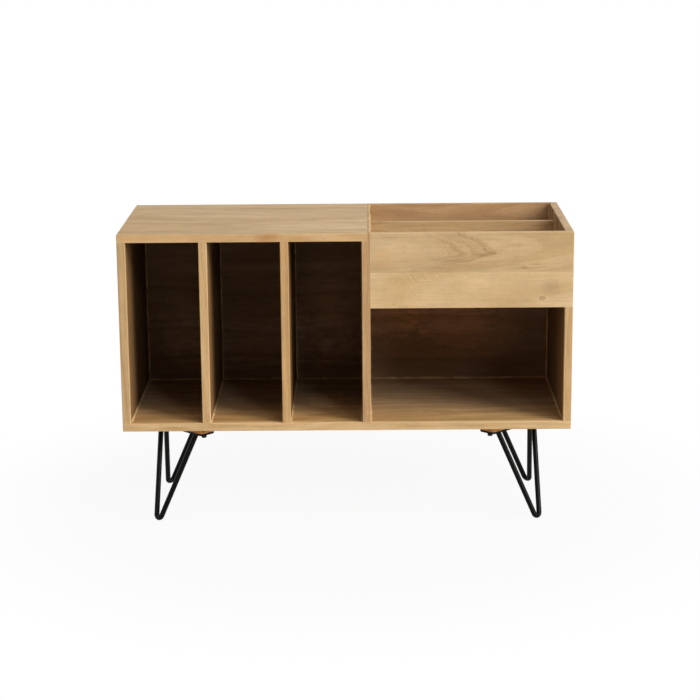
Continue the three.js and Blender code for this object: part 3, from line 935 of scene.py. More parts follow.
    def _soft_ball(self, sheet: NodeSheet, point: Feed, centre: Point, reach: Point) -> bpy.types.NodeSocket:
        """Marks a ball with a border that a noise breaks up.

        The noise is added to the distance from the centre, and the sum fades from 0.5 to 1.4.

        Args:
            sheet: The finish's sheet of nodes.
            point: The place in the frame.
            centre: Middle of the ball.
            reach: Half size of the ball along X, Y and Z.

        Returns:
            1 in the middle of the ball, 0 past its reach.
        """
        ragged = sheet.math("MULTIPLY", sheet.noise(point, self.BORDER_STEPS, 3.0, 0.6), self.BORDER_RAG)
        border = sheet.math("ADD", sheet.distance(point, centre, reach), ragged)
        return sheet.span(border, 0.5, 1.4, 1.0, 0.0)

    def _patch(self, sheet: NodeSheet, colour: Feed, point: Feed, blush: Blush) -> bpy.types.NodeSocket:
        """Turns the colour in a soft ball, or multiplies it: for stains, and for patches of painted light.

        Args:
            sheet: The finish's sheet of nodes.
            colour: The colour so far.
            point: The place in the frame.
            blush: The patch.

        Returns:
            The colour with the patch.
        """
        ball = self._soft_ball(sheet, point, blush.centre, blush.reach)
        share = sheet.math("MULTIPLY", ball, blush.strength)
        return sheet.blend(share, colour, blush.colour, "MULTIPLY" if blush.stain else "MIX")

    def _ripple(self, sheet: NodeSheet, colour: Feed, point: Feed, ripple: Ripple) -> bpy.types.NodeSocket:
        """Draws uneven bars in a soft ball: a noise read along the direction in which they follow.

        Args:
            sheet: The finish's sheet of nodes.
            colour: The colour so far.
            point: The place in the frame.
            ripple: The bars to draw.

        Returns:
            The colour with the bars.
        """
        along, up = (ripple.pitch * part for part in ripple.onward)
        sway = sheet.math("MULTIPLY", sheet.noise(point, self.SWAY_STEPS), self.RIPPLE_SWAY)
        number = sheet.math("ADD", sheet.vector("DOT_PRODUCT", point, (along, 0.0, up)), sway)
        bars = sheet.swing(sheet.line_noise(number, 1.0), ripple.depth)
        share = self._soft_ball(sheet, point, ripple.centre, ripple.reach)
        light = sheet.math("ADD", sheet.math("MULTIPLY", bars, share), 1.0)
        return sheet.blend(1.0, colour, sheet.join((light, light, light)), "MULTIPLY")

    def _knot(self, sheet: NodeSheet, colour: Feed, point: Feed, knot: Knot) -> bpy.types.NodeSocket:
        """Draws a dark ring round a lighter middle.

        The distance from the knot's centre is measured in its reach, and a noise makes it uneven.

        Args:
            sheet: The finish's sheet of nodes.
            colour: The colour so far.
            point: The place in the frame.
            knot: The knot to draw.

        Returns:
            The colour with the knot.
        """
        uneven = sheet.math("MULTIPLY", sheet.noise(point, self.KNOT_STEPS), self.KNOT_UNEVEN)
        distance = sheet.math("ADD", sheet.distance(point, knot.centre, knot.reach), uneven)
        rim = sheet.math("ABSOLUTE", sheet.math("SUBTRACT", distance, self.KNOT_RING))
        ring = sheet.span(rim, 0.0, 0.4, knot.strength, 0.0)
        heart = sheet.span(distance, 0.3, 0.9, 0.55 * knot.strength, 0.0)
        colour = sheet.blend(heart, colour, self.tones.brown)
        return sheet.blend(ring, colour, self.tones.pore)

    def _end_grain(self, sheet: NodeSheet, colour: Feed, place: Feed) -> bpy.types.NodeSocket:
        """Makes cut ends a little darker and greyer, with round pores.

        A cut end is where the face looks along the fibres. Turned blocks have none that shows.

        Args:
            sheet: The finish's sheet of nodes.
            colour: The colour so far.
            place: The place in the board's own directions.

        Returns:
            The colour with the cut ends.
        """
        along = sheet.split(sheet.facing())[self.lay.value[0]]
        cut_end = 0.0 if self.turn else sheet.span(along, 0.75, 0.95)
        dots = sheet.span(sheet.noise(place, (60.0, 420.0, 420.0), 2.0, 0.6), 0.5, 0.7, 0.0, 0.3)
        dull = sheet.blend(dots, END_GRAIN_TINT, END_GRAIN_PORES)
        return sheet.blend(cut_end, colour, sheet.blend(1.0, colour, dull, "MULTIPLY"))

    @staticmethod
    def _painted_shade(sheet: NodeSheet, colour: Feed, point: Feed, room: PaintedShadeRoom) -> bpy.types.NodeSocket:
        """Paints shade onto the faces of a room.

        Each axis gives how far the place is past the room's side, below 0 inside. The largest of
        the three is at most 0 on the room's faces. The painted shade fades in over the first 2 cm
        behind the mouth, and from its mouth tint to its deep tint over the next 20.

        Args:
            sheet: The finish's sheet of nodes.
            colour: The colour so far.
            point: The place in the frame.
            room: The room.

        Returns:
            The colour with the painted shade.
        """
        low, high = np.array(room.low), np.array(room.high)
        inside = sheet.vector("ABSOLUTE", sheet.vector("SUBTRACT", point, tuple((low + high) / 2)))
        x, y, z = sheet.split(sheet.vector("SUBTRACT", inside, tuple((high - low) / 2)))
        past = sheet.math("MAXIMUM", x, sheet.math("MAXIMUM", y, z))
        share = sheet.span(past, 0.5 * MILLIMETRE, 1.5 * MILLIMETRE, 1.0, 0.0)
        # Side walls, which face along X, take their own painted shade.
        wall = sheet.span(sheet.split(sheet.facing())[0], 0.6, 0.8)
        depth = sheet.math("SUBTRACT", sheet.split(point)[1], room.low[1])
        share = sheet.math("MULTIPLY", share, sheet.span(depth, 0.0, 0.02))
        inward = sheet.span(depth, 0.02, 0.22)
        shade_tint = sheet.blend(inward, room.mouth_tint, room.deep_tint)
        wall_shade_tint = sheet.blend(inward, room.wall_tint, tuple(room.wall_share * c for c in room.wall_tint))
        shade_tint = sheet.blend(wall, shade_tint, wall_shade_tint)
        return sheet.blend(share, colour, sheet.blend(1.0, colour, shade_tint, "MULTIPLY"))

    def _painted_edge_highlight(
        self, sheet: NodeSheet, colour: Feed, point: Feed, middle: Vector, half: Vector
    ) -> bpy.types.NodeSocket:
        """Paints a highlight of pale wood along the edges.

        Each axis gives how far the place is inside the board's side, below 0. The second largest
        of the three numbers is near 0 only where two sides meet.

        Args:
            sheet: The finish's sheet of nodes.
            colour: The colour so far.
            point: The place in the frame.
            middle: Middle of the board.
            half: Half size of the board.

        Returns:
            The colour with the painted highlight.
        """
        inside = sheet.vector("ABSOLUTE", sheet.vector("SUBTRACT", point, tuple(middle)))
        x, y, z = sheet.split(sheet.vector("SUBTRACT", inside, tuple(half)))
        largest = sheet.math("MAXIMUM", x, sheet.math("MAXIMUM", y, z))
        smallest = sheet.math("MINIMUM", x, sheet.math("MINIMUM", y, z))
        total = sheet.math("ADD", x, sheet.math("ADD", y, z))
        second = sheet.math("SUBTRACT", sheet.math("SUBTRACT", total, largest), smallest)
        # A noise breaks up the painted highlight.
        highlight_break = sheet.noise(point, (30.0, 30.0, 30.0), 2.0, 0.6)
        share = sheet.math("MULTIPLY", sheet.span(second, -2.2 * MILLIMETRE, -0.4 * MILLIMETRE), self.edge_highlight)
        share = sheet.math("MULTIPLY", share, sheet.span(highlight_break, 0.3, 0.6, 0.55, 1.0))
        return sheet.blend(share, colour, tuple(min(1.0, 1.08 * c) for c in self._lit(self.tones.pale)))


@dataclass(frozen=True)
class FillerPaste:
    """Pale wood filler, smoothed by hand into the inner corners.

    Attributes:
        fresh: The lighter of its two tones.
        dusty: The darker one.
        clouds: Clouds of the two tones, per metre.
        grain: Its dry grain, per metre.
    """

    fresh: Colour = shade(214, 180, 130)
    dusty: Colour = shade(186, 148, 98)
    clouds: float = 45.0
    grain: float = 1400.0

    def material(self, name: str) -> bpy.types.Material:
        """Makes the paste: two tones in clouds, with a fine dry grain.

        Args:
            name: The finish's name.

        Returns:
            The material.
        """
        material, sheet, shader = new_material(name)
        point = sheet.place()
        cloud = sheet.noise(point, (self.clouds,) * 3, 3.0, 0.6)
        colour = sheet.blend(sheet.span(cloud, 0.35, 0.65), self.fresh, self.dusty)
        sheet.feed(shader.inputs["Base Color"], colour)
        grain = sheet.noise(point, (self.grain,) * 3, 2.0, 0.6)
        sheet.feed(shader.inputs["Roughness"], sheet.span(grain, 0.0, 1.0, 0.6, 0.85))
        sheet.bump(shader, grain, 0.4, 0.15 * MILLIMETRE)
        return material


@dataclass(frozen=True)
class BlackSteel:
    """Satin black coat on steel.

    Attributes:
        deep: The coat's colour.
        rubbed: Its colour where it has been rubbed.
        rough: Roughness of the coat.
        speck: Fine waves of the coat, per metre.
        clouds: Clouds of rubbed coat, per metre.
    """

    deep: Colour = shade(4, 4, 3)
    rubbed: Colour = shade(22, 17, 12)
    rough: float = 0.30
    speck: float = 900.0
    clouds: float = 30.0

    def material(self, name: str) -> bpy.types.Material:
        """Makes the coat: near black, cloudy by a little, with the waves of sprayed powder.

        Args:
            name: The finish's name.

        Returns:
            The material.
        """
        material, sheet, shader = new_material(name)
        point = sheet.place()
        cloud = sheet.noise(point, (self.clouds,) * 3, 4.0, 0.65)
        colour = sheet.blend(sheet.span(cloud, 0.45, 0.75), self.deep, self.rubbed)
        sheet.feed(shader.inputs["Base Color"], colour)
        rough = sheet.math("ADD", sheet.math("MULTIPLY", cloud, 0.12), self.rough - 0.06)
        sheet.feed(shader.inputs["Roughness"], rough)
        shader.inputs["Specular IOR Level"].default_value = 0.08
        sheet.bump(shader, sheet.noise(point, (self.speck,) * 3, 2.0, 0.5), 0.2, 0.08 * MILLIMETRE)
        return material


def dress_node(node: bpy.types.Object, material: bpy.types.Material) -> None:
    """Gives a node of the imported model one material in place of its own."""
    node.data.materials.clear()
    node.data.materials.append(material)


def swept(
    path: np.ndarray, right: np.ndarray, up: np.ndarray, profile: np.ndarray
) -> tuple[np.ndarray, list[list[int]]]:
    """Carries a closed outline along a path.

    Corner j of ring i lies at path[i] + profile[i, j, 0] * right[i] + profile[i, j, 1] * up[i].
    Four neighbours make a face, and one face closes each end.

    Args:
        path: Points of the path, n by 3.
        right: First direction of the outline at each point, n by 3.
        up: Second direction of the outline at each point, n by 3.
        profile: The outline at each point, n by m by 2.

    Returns:
        Corners, n * m by 3, and faces.
    """
    count, sides = profile.shape[:2]
    rings = path[:, None, :] + profile[..., :1] * right[:, None, :] + profile[..., 1:] * up[:, None, :]
    ring, side = np.meshgrid(np.arange(count - 1), np.arange(sides), indexing="ij")
    here, beside = ring * sides + side, ring * sides + (side + 1) % sides
    quads = np.stack([here, beside, beside + sides, here + sides], -1).reshape(-1, 4)
    ends = [list(range(sides))[::-1], list(range((count - 1) * sides, count * sides))]
    return rings.reshape(-1, 3), quads.tolist() + ends


def closed_ring(
    centre: np.ndarray, right: np.ndarray, up: np.ndarray, major: float, minor: np.ndarray, sides: int
) -> tuple[np.ndarray, list[list[int]]]:
    """Builds a bead that runs round a circle.

    Corner (i, j) lies at centre + (major + minor[i] * cos b) * (cos a * right + sin a * up)
    + minor[i] * sin b * axis, for turns a of the circle and b of the bead.

    Args:
        centre: Middle of the circle.
        right: First direction in the circle's plane.
        up: Second direction in that plane.
        major: Radius of the circle.
        minor: Radius of the bead at each turn.
        sides: Corners round the bead.

    Returns:
        Corners and faces.
    """
    count = len(minor)
    a = np.linspace(0, 2 * np.pi, count, endpoint=False)[:, None, None]
    b = np.linspace(0, 2 * np.pi, sides, endpoint=False)[None, :, None]
    radius = minor[:, None, None]
    outward = np.cos(a) * right + np.sin(a) * up
    corners = centre + (major + radius * np.cos(b)) * outward + radius * np.sin(b) * np.cross(right, up)
    ring, side = np.meshgrid(np.arange(count), np.arange(sides), indexing="ij")
    after, beside = (ring + 1) % count, (side + 1) % sides
    quads = np.stack(
        [ring * sides + side, after * sides + side, after * sides + beside, ring * sides + beside], -1
    )
    return corners.reshape(-1, 3), quads.reshape(-1, 4).tolist()


def lay_piece(
    name: str,
    parts: Sequence[tuple[np.ndarray, list[list[int]]]],
    material: bpy.types.Material,
    crease: float = math.radians(40),
) -> bpy.types.Object:
    """Makes one piece out of closed shapes, smooth but for its creases, that rides on the stand.

    Args:
        name: The piece's name.
        parts: Corners and faces of each shape.
        material: Its finish.
        crease: Faces that meet at more than this angle keep a sharp edge.

    Returns:
        The piece.
    """
    corners = np.concatenate([shape[0] for shape in parts])
    starts = np.cumsum([0] + [len(shape[0]) for shape in parts])
    faces = [
        [int(start) + corner for corner in face] for start, shape in zip(starts, parts) for face in shape[1]
    ]
    mesh = bpy.data.meshes.new(name)
    mesh.from_pydata(corners.tolist(), [], faces)
    mesh.shade_smooth()
    mesh.set_sharp_from_angle(angle=crease)
    mesh.materials.append(material)
    piece = new_object(name, mesh)
    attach(piece, BODY)
    log.info("%s: %d corners, %d faces", name, len(corners), len(faces))
    return piece


@dataclass
class BoardSet:
    """Boards of one sub-assembly, each with its own finish.

    Attributes:
        finishes: The finish of each board, by its node.
    """

    finishes: dict[str, BoardFinish]

    def dress(self, nodes: dict[str, bpy.types.Object]) -> None:
        """Puts each board's finish on it.

        Args:
            nodes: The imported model's nodes.
        """
        for name, finish in self.finishes.items():
            finish.dress(nodes[name])
            log.info("%s dressed", name)


@dataclass
class Carcass(BoardSet):
    """The shell of the cabinet, with its slot dividers, centre panel and two back boards."""

    finishes: dict[str, BoardFinish] = field(
        default_factory=lambda: {
            "top_panel": BoardFinish(
                Lay.FLAT,
                seed=3.0,
                tones=TOP_TONES,
                stave=0.112,
                wander=0.12,
                ring_pitch=24.0,
                ring_depth=0.14,
                streaks=0.18,
                mottle=0.42,
                edge_highlight=0.4,
                shaded_rooms=(SLOTS_ROOM,),
                light=0.99,
                blushes=(
                    # Multiplies the top's front edge back from the painted sheen of its tones towards the
                    # cabinet's colour.
                    Blush((-0.25, -0.2252, 0.73), (1.6, 0.0022, 0.25), (1.19, 1.09, 0.99), stain=True),
                    Blush((-0.187, FRONT_Y, 0.731), (0.05, 0.03, 0.022), shade(172, 112, 62), 0.55),
                    Blush((-0.10, FRONT_Y, 0.728), (0.07, 0.03, 0.016), shade(182, 130, 80), 0.35),
                ),
            ),
            "bottom_panel": BoardFinish(
                Lay.FLAT,
                seed=8.0,
                stave=0.118,
                streaks=0.36,
                mottle=0.36,
                edge_highlight=0.6,
                shaded_rooms=(SLOTS_ROOM, BAY_ROOM),
                light=1.07,
                blushes=(
                    front_stain((-0.425, 0.2590), (0.060, 0.0060), (0.84, 0.76, 0.66), deep=0.006),
                    front_stain((-0.325, 0.2605), (0.075, 0.0060), (0.82, 0.73, 0.62), deep=0.006),
                    front_stain((-0.120, 0.2590), (0.060, 0.0050), (0.92, 0.88, 0.82), deep=0.006),
                    front_stain((0.160, 0.2600), (0.080, 0.0055), (0.92, 0.88, 0.82), deep=0.006),
                    front_stain((0.330, 0.2580), (0.070, 0.0050), (0.94, 0.90, 0.84), deep=0.006),
                    front_stain((0.000, 0.2620), (1.600, 0.0200), (1.02, 1.06, 1.08), deep=0.006),
                    # Painted light on slot 3's floor.
                    Blush((-0.045, -0.02, BASE_TOP_Z), (0.11, 0.14, 0.008), (1.55, 1.55, 1.45), stain=True),
                ),
            ),
            "left_side_panel": BoardFinish(Lay.UPRIGHT, seed=12.0, mottle=0.32, shaded_rooms=(SLOTS_ROOM,)),
            "right_side_panel": BoardFinish(
                Lay.UPRIGHT,
                seed=17.0,
                mottle=0.32,
                shaded_rooms=(BAY_ROOM, BIN_ROOM),
                light=1.03,
            ),
            "centre_panel": BoardFinish(
                Lay.UPRIGHT,
                seed=23.0,
                mottle=0.32,
                shaded_rooms=(SLOTS_ROOM, BAY_ROOM, BIN_ROOM),
                light=0.90,
                blushes=(
                    front_stain((0.0495, 0.49), (0.06, 1.20), (0.93, 0.86, 0.82), deep=0.02),
                    front_stain((0.044, 0.671), (0.009, 0.060), (0.93, 0.84, 0.79), deep=0.02),
                    front_stain((0.044, 0.545), (0.008, 0.045), (0.94, 0.86, 0.82), 0.9, deep=0.02),
                    front_stain((0.045, 0.300), (0.010, 0.050), (0.94, 0.85, 0.82), deep=0.02),
                ),
            ),
            "slot_divider_left": BoardFinish(
                Lay.UPRIGHT,
                seed=29.0,
                mottle=0.32,
                shaded_rooms=(SLOTS_ROOM,),
                light=1.11,
            ),
            "slot_divider_right": BoardFinish(
                Lay.UPRIGHT,
                seed=34.0,
                mottle=0.32,
                shaded_rooms=(SLOTS_ROOM,),
                blushes=(front_stain((-0.147, 0.49), (0.06, 1.20), (0.98, 0.91, 0.83), deep=0.02),),
            ),
            "slot_back_panel": BoardFinish(
                Lay.FACING,
                seed=41.0,
                tones=BACK_TONES,
                ring_depth=0.2,
                knots=(Knot((-0.385, BACK_BOARD_Y, 0.512), (0.012, 0.03, 0.012), strength=0.7, swirl=0.6),),
                blushes=(
                    # Painted light on the slot backs.
                    back_light_patch((-0.245, 0.37), (0.40, 0.13), (1.28, 1.40, 1.60)),
                    back_light_patch((-0.048, 0.46), (0.11, 0.20), (1.60, 1.55, 1.50)),
                    back_light_patch((-0.430, 0.40), (0.10, 0.12), (1.35, 1.38, 1.42)),
                ),
                shaded_rooms=(SLOTS_ROOM,),
            ),
            "bay_back_panel": BoardFinish(
                Lay.FACING,
                seed=47.0,
                tones=BACK_TONES,
                ring_depth=0.2,
                knots=(
                    Knot((0.345, BACK_BOARD_Y, 0.47), (0.014, 0.03, 0.014), strength=0.5, swirl=0.6),
                    Knot((0.48, BACK_BOARD_Y, 0.50), (0.01, 0.03, 0.01), strength=0.4, swirl=0.6),
                ),
                blushes=(
                    # Painted light on the bay's back.
                    back_light_patch((0.120, 0.46), (0.13, 0.15), (1.86, 1.62, 1.42)),
                    back_light_patch((0.300, 0.43), (0.19, 0.14), (1.80, 1.56, 1.40)),
                ),
                shaded_rooms=(BAY_ROOM,),
            ),
        }
    )


@dataclass
class RecordBin(BoardSet):
    """The open-topped bin for records: two front boards, a floor and one divider."""

    finishes: dict[str, BoardFinish] = field(
        default_factory=lambda: {
            "bin_front_upper_board": BoardFinish(
                Lay.FACING,
                seed=53.0,
                tones=BIN_FRONT_TONES,
                stave=2.0,
                pith=(0.0, 0.01, 0.05),
                slope=(0.0, 0.03, 0.08),
                wander=0.012,
                ring_pitch=60.0,
                ring_depth=0.14,
                streaks=0.2,
                mottle=0.26,
                edge_highlight=0.5,
                arches=(
                    Arch(ARCH_TIP, rise=0.60, fall=0.22, reach=0.22, pitch=17.0, strength=0.34, soft=0.16),
                    Arch(ARCH_TIP, rise=0.60, fall=0.22, reach=0.20, pitch=80.0, strength=0.66, soft=0.09),
                ),
                blushes=(
                    front_stain((0.356, 0.688), (0.014, 0.008), (0.84, 0.78, 0.70)),
                    front_stain((0.330, 0.684), (0.034, 0.007), (0.85, 0.79, 0.71)),
                    front_stain((0.270, 0.671), (0.075, 0.007), (0.87, 0.82, 0.75)),
                    front_stain((0.432, 0.6535), (0.026, 0.0050), (0.76, 0.68, 0.60)),
                    front_stain((0.459, 0.6615), (0.030, 0.0028), (0.82, 0.75, 0.67)),
                    front_stain((0.476, 0.6545), (0.028, 0.0028), (0.82, 0.75, 0.67)),
                    front_stain((0.414, 0.7097), (0.030, 0.0060), (0.90, 0.86, 0.80)),
                    Blush((0.140, FRONT_Y, 0.690), (0.09, 0.03, 0.045), shade(214, 176, 124), 0.35),
                    front_stain((0.085, 0.675), (0.05, 0.045), (1.00, 0.93, 0.85)),
                ),
                light=0.945,
            ),
            "bin_front_lower_board": BoardFinish(
                Lay.FACING,
                seed=59.0,
                tones=BIN_FRONT_TONES,
                stave=2.0,
                pith=(0.0, -0.03, -0.09),
                slope=(0.0, -0.06, 0.16),
                wander=0.03,
                ring_pitch=30.0,
                ring_depth=0.10,
                streaks=0.06,
                mottle=0.26,
                edge_highlight=0.4,
                light=1.08,
                ripples=(
                    Ripple((0.195, FRONT_Y, 0.633), (0.120, 0.03, 0.030), pitch=270.0, depth=0.55),
                    Ripple((0.153, FRONT_Y, 0.590), (0.060, 0.03, 0.036), pitch=240.0, depth=0.4),
                ),
                blushes=(
                    front_stain((0.320, 0.622), (0.06, 0.026), (1.06, 1.06, 1.08)),
                    front_stain((0.395, 0.585), (0.12, 0.030), (1.05, 1.05, 1.07)),
                    front_stain((0.140, 0.565), (0.09, 0.022), (1.05, 1.05, 1.08)),
                    front_stain((0.268, 0.606), (0.035, 0.030), (0.90, 0.88, 0.85), 0.8),
                    front_stain((0.496, 0.605), (0.035, 0.030), (0.84, 0.84, 0.86), 0.9),
                    front_stain((0.120, 0.625), (0.05, 0.022), (0.93, 0.88, 0.82), 0.8),
                ),
                knots=(
                    Knot((0.475, FRONT_Y, 0.578), (0.0085, 0.02, 0.005), strength=0.55, swirl=0.4),
                    Knot((0.117, FRONT_Y, 0.566), (0.0022, 0.01, 0.0018), strength=0.8),
                ),
            ),
            "bin_floor_panel": BoardFinish(Lay.FLAT, seed=64.0, shaded_rooms=(BAY_ROOM,)),
            "bin_divider": BoardFinish(Lay.FACING, seed=71.0, tones=DIVIDER_TONES, edge_highlight=0.9),
        }
    )


@dataclass
class FillerBeads:
    """Beads of pale filler along the inner corners of one compartment.

    Attributes:
        name: The piece's name.
        low: Lowest corner of the compartment, in metres.
        high: Highest corner of the compartment, in metres.
        front: Whether its front corners are filled too, as in the bin.
        width: How far a bead runs up each board, in metres.
        seed: Sets this compartment's unevenness apart.
        stations: Outlines along each bead.
        arc: Corners on the hollow side of an outline.
    """

    name: str
    low: Point
    high: Point
    front: bool = False
    width: float = 0.0034
    seed: int = 1
    stations: int = 120
    arc: int = 6

    # The three sine waves along a bead: radians per metre, and share of its width.
    WAVE_TURNS: ClassVar[Point] = (23.0, 61.0, 140.0)
    WAVE_SWELLS: ClassVar[Point] = (0.14, 0.09, 0.05)

    def build(self, material: bpy.types.Material) -> bpy.types.Object:
        """Builds the beads as one piece.

        Each run goes from one corner of the compartment to another, with the two directions that
        lead from it along the boards.

        Args:
            material: The filler's finish.

        Returns:
            The piece.
        """
        (x0, y0, z0), (x1, y1, z1) = self.low, self.high
        east, north, above = np.eye(3)
        runs = [
            ((x0, y1, z0), (x1, y1, z0), -north, above),
            ((x0, y1, z0), (x0, y1, z1), east, -north),
            ((x1, y1, z0), (x1, y1, z1), -north, -east),
            ((x0, y0, z0), (x0, y1, z0), east, above),
            ((x1, y0, z0), (x1, y1, z0), above, -east),
        ]
        if self.front:
            runs += [
                ((x0, y0, z0), (x1, y0, z0), above, north),
                ((x0, y0, z0), (x0, y0, z1), north, east),
                ((x1, y0, z0), (x1, y0, z1), -east, north),
            ]
        parts = [
            self._run(np.array(start), np.array(end), right, up, number)
            for number, (start, end, right, up) in enumerate(runs)
        ]
        return lay_piece(self.name, parts, material)

    def _run(
        self, start: np.ndarray, end: np.ndarray, right: np.ndarray, up: np.ndarray, number: int
    ) -> tuple[np.ndarray, list[list[int]]]:
        """Builds one bead.

        Its outline is the corner itself, then a hollow quarter circle w + w * (cos t, sin t) for t
        from -90 down to -180 degrees. Its width w swells and thins along the run by three
        sine waves of seeded phase.

        Args:
            start: Where the bead starts.
            end: Where it ends.
            right: Direction along the first board.
            up: Direction along the second board.
            number: The bead's number in its compartment.

        Returns:
            Corners and faces.
        """
        share = np.linspace(0.0, 1.0, self.stations)[:, None]
        length = float(np.linalg.norm(end - start))
        phase = np.random.default_rng(self.seed * 31 + number).uniform(0, 2 * np.pi, 3)
        waves = np.sin(share * length * np.array(self.WAVE_TURNS) + phase) @ np.array(self.WAVE_SWELLS)
        width = self.width * (1 + waves)[:, None]
        turn = np.linspace(-0.5 * np.pi, -np.pi, self.arc)
        across = np.concatenate([np.zeros((self.stations, 1)), width * (1 + np.cos(turn))], 1)
        height = np.concatenate([np.zeros((self.stations, 1)), width * (1 + np.sin(turn))], 1)
        profile = np.stack([across, height], -1)
        path = start + share * (end - start)
        if np.dot(np.cross(right, up), end - start) <= 0:
            right, up = up, right
            profile = np.roll(profile[:, ::-1, ::-1], 1, axis=1)
        return swept(path, np.tile(right, (self.stations, 1)), np.tile(up, (self.stations, 1)), profile)


@dataclass
class HairpinLeg:
    """One leg: a leaning hairpin of round rod, its welds, plate, wooden block and three bolts.

    Attributes:
        name: Which leg it is.
        place: The middle of its plate, along X and Y.
        turn: Turn of the leg about Z, in radians.
        plate_bottom: Height of the plate's underside.
        spread: Distance between the rod's two welds.
        lean: How far the foot stands out from the welds.
        bend: Radius of the bend's centre line.
        diameter: Thickness of the rod.
        weld: Thickness of the weld bead.
        knots: Knots on its wooden block.
        bend_steps: Steps of the rod round its bend.
        sides: Corners round the rod.
        weld_turns: Steps round a weld.
        weld_sides: Corners round a weld's bead.
        weld_lumps: Lumps round a weld.
    """

    name: str
    place: tuple[float, float]
    turn: float
    knots: tuple[Knot, ...] = ()
    plate_bottom: float = 0.2296
    spread: float = 0.140
    lean: float = 0.075
    bend: float = 0.010
    diameter: float = 0.013
    weld: float = 0.0022
    bend_steps: int = 48
    sides: int = 32
    weld_turns: int = 72
    weld_sides: int = 10
    weld_lumps: int = 12

    def _world(self, points: np.ndarray) -> np.ndarray:
        """Moves points from the leg's own axes into the frame.

        Args:
            points: The points, n by 3.

        Returns:
            The points, turned about Z and moved to the leg's place.
        """
        c, s = math.cos(self.turn), math.sin(self.turn)
        return points @ np.array([[c, s, 0], [-s, c, 0], [0, 0, 1]]) + np.array([*self.place, 0])

    def _centre_line(self) -> tuple[np.ndarray, np.ndarray, np.ndarray]:
        """Works out the rod's centre line in the leg's own axes.

        The line lies in a plane that leans out. Its straight runs are tangents from the welds to
        the bend's circle; on the bend, the turn goes from the runs' tilt to its mirror image.

        Returns:
            Points, directions along the line, and the plane's normal at each point.
        """
        drop = self.plate_bottom - self.diameter / 2
        slope = math.hypot(drop, self.lean)
        down = np.array([0, self.lean, -drop]) / slope
        across = np.array([1.0, 0.0, 0.0])
        half, depth = self.spread / 2, slope - self.bend
        tilt = math.atan2(half, depth) - math.asin(self.bend / math.hypot(half, depth))
        turn = np.linspace(tilt, math.pi - tilt, self.bend_steps + 1)
        x = np.concatenate([[half], self.bend * np.cos(turn), [-half]])
        y = np.concatenate([[0.0], depth + self.bend * np.sin(turn), [0.0]])
        turn = np.concatenate([[tilt], turn, [math.pi - tilt]])[:, None]
        points = np.array([0, 0, self.plate_bottom]) + x[:, None] * across + y[:, None] * down
        along = -np.sin(turn) * across + np.cos(turn) * down
        return points, along, np.tile(np.cross(across, down), (len(points), 1))

    def build(self, coat: bpy.types.Material) -> None:
        """Builds the rod and its welds.

        The rod is a circle carried along the centre line. The corners of its two ends slide along
        the rod onto the plate's underside. A weld is a bead round each end, whose thickness swells
        by a tenth, as a cosine, at each lump.

        Args:
            coat: The black coat.
        """
        points, along, normal = self._centre_line()
        side = np.cross(along, normal)
        angle = np.linspace(0, 2 * np.pi, self.sides, endpoint=False)
        outline = 0.5 * self.diameter * np.stack([np.cos(angle), np.sin(angle)], -1)
        corners, faces = swept(points, normal, -side, np.tile(outline, (len(points), 1, 1)))
        rings = corners.reshape(len(points), self.sides, 3)
        for end in (0, -1):
            rise = (self.plate_bottom - rings[end, :, 2:]) / along[end, 2]
            rings[end] += rise * along[end]
        shape = (self._world(rings.reshape(-1, 3)), faces)
        rod = lay_piece(f"{self.name}_bent_rod", [shape], coat)
        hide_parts(f"{self.name}_hairpin_rod")
        turns = np.linspace(0, 2 * np.pi, self.weld_turns, endpoint=False)
        minor = self.weld * (1 + 0.10 * np.cos(self.weld_lumps * turns))
        major = self.diameter / 2 + 0.4 * MILLIMETRE
        right, back, above = np.eye(3)
        welds = []
        for end in (0, -1):
            centre = points[end] - 0.3 * self.weld * above
            ring, quads = closed_ring(centre, right, back, major, minor, self.weld_sides)
            welds.append((self._world(ring), quads))
        lay_piece(f"{self.name}_weld_beads", welds, coat)

    def dress(
        self, nodes: dict[str, bpy.types.Object], coat: bpy.types.Material, bolt: bpy.types.Material
    ) -> None:
        """Puts the finishes on the block, plate and bolts.

        Args:
            nodes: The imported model's nodes.
            coat: The plate's black coat.
            bolt: The bolts' blackened steel.
        """
        dress_node(nodes[f"{self.name}_mounting_plate"], coat)
        for where in ("inner", "middle", "outer"):
            dress_node(nodes[f"{self.name}_bolt_{where}"], bolt)
        block = BoardFinish(
            Lay.FLAT,
            seed=80.0 + 7 * self.place[0] + 3 * self.place[1],
            tones=BLOCK_TONES,
            stave=0.2,
            ring_pitch=90.0,
            edge_highlight=0.0,
            turn=self.turn,
            knots=self.knots,
        )
        block.dress(nodes[f"{self.name}_leg_block"])


@dataclass(frozen=True)
class SoftBox:
    """A large soft lamp that faces the stand.

    Attributes:
        name: The lamp's name.
        azimuth: Degrees round the stand from its front, to the right.
        elevation: Degrees above the floor.
        distance: Metres from the stand's middle.
        size: Width and height of the lamp, in metres.
        power: Watts.
        colour: Colour of its light.
    """

    name: str
    azimuth: float
    elevation: float
    distance: float
    size: tuple[float, float]
    power: float
    colour: Colour = (1.0, 1.0, 1.0)

    def build(self, target: Vector) -> bpy.types.Object:
        """Hangs the lamp in its place and turns it to the target.

        Args:
            target: The point that it faces.

        Returns:
            The lamp.
        """
        lamp = bpy.data.lights.new(self.name, "AREA")
        lamp.shape = "RECTANGLE"
        lamp.size, lamp.size_y = self.size
        lamp.energy = self.power
        lamp.color = self.colour
        holder = new_object(self.name, lamp)
        azimuth, elevation = math.radians(self.azimuth), math.radians(self.elevation)
        flat = math.cos(elevation)
        away = Vector((flat * math.sin(azimuth), -flat * math.cos(azimuth), math.sin(elevation)))
        holder.location = target + self.distance * away
        holder.rotation_euler = away.to_track_quat("Z", "Y").to_euler()
        return holder


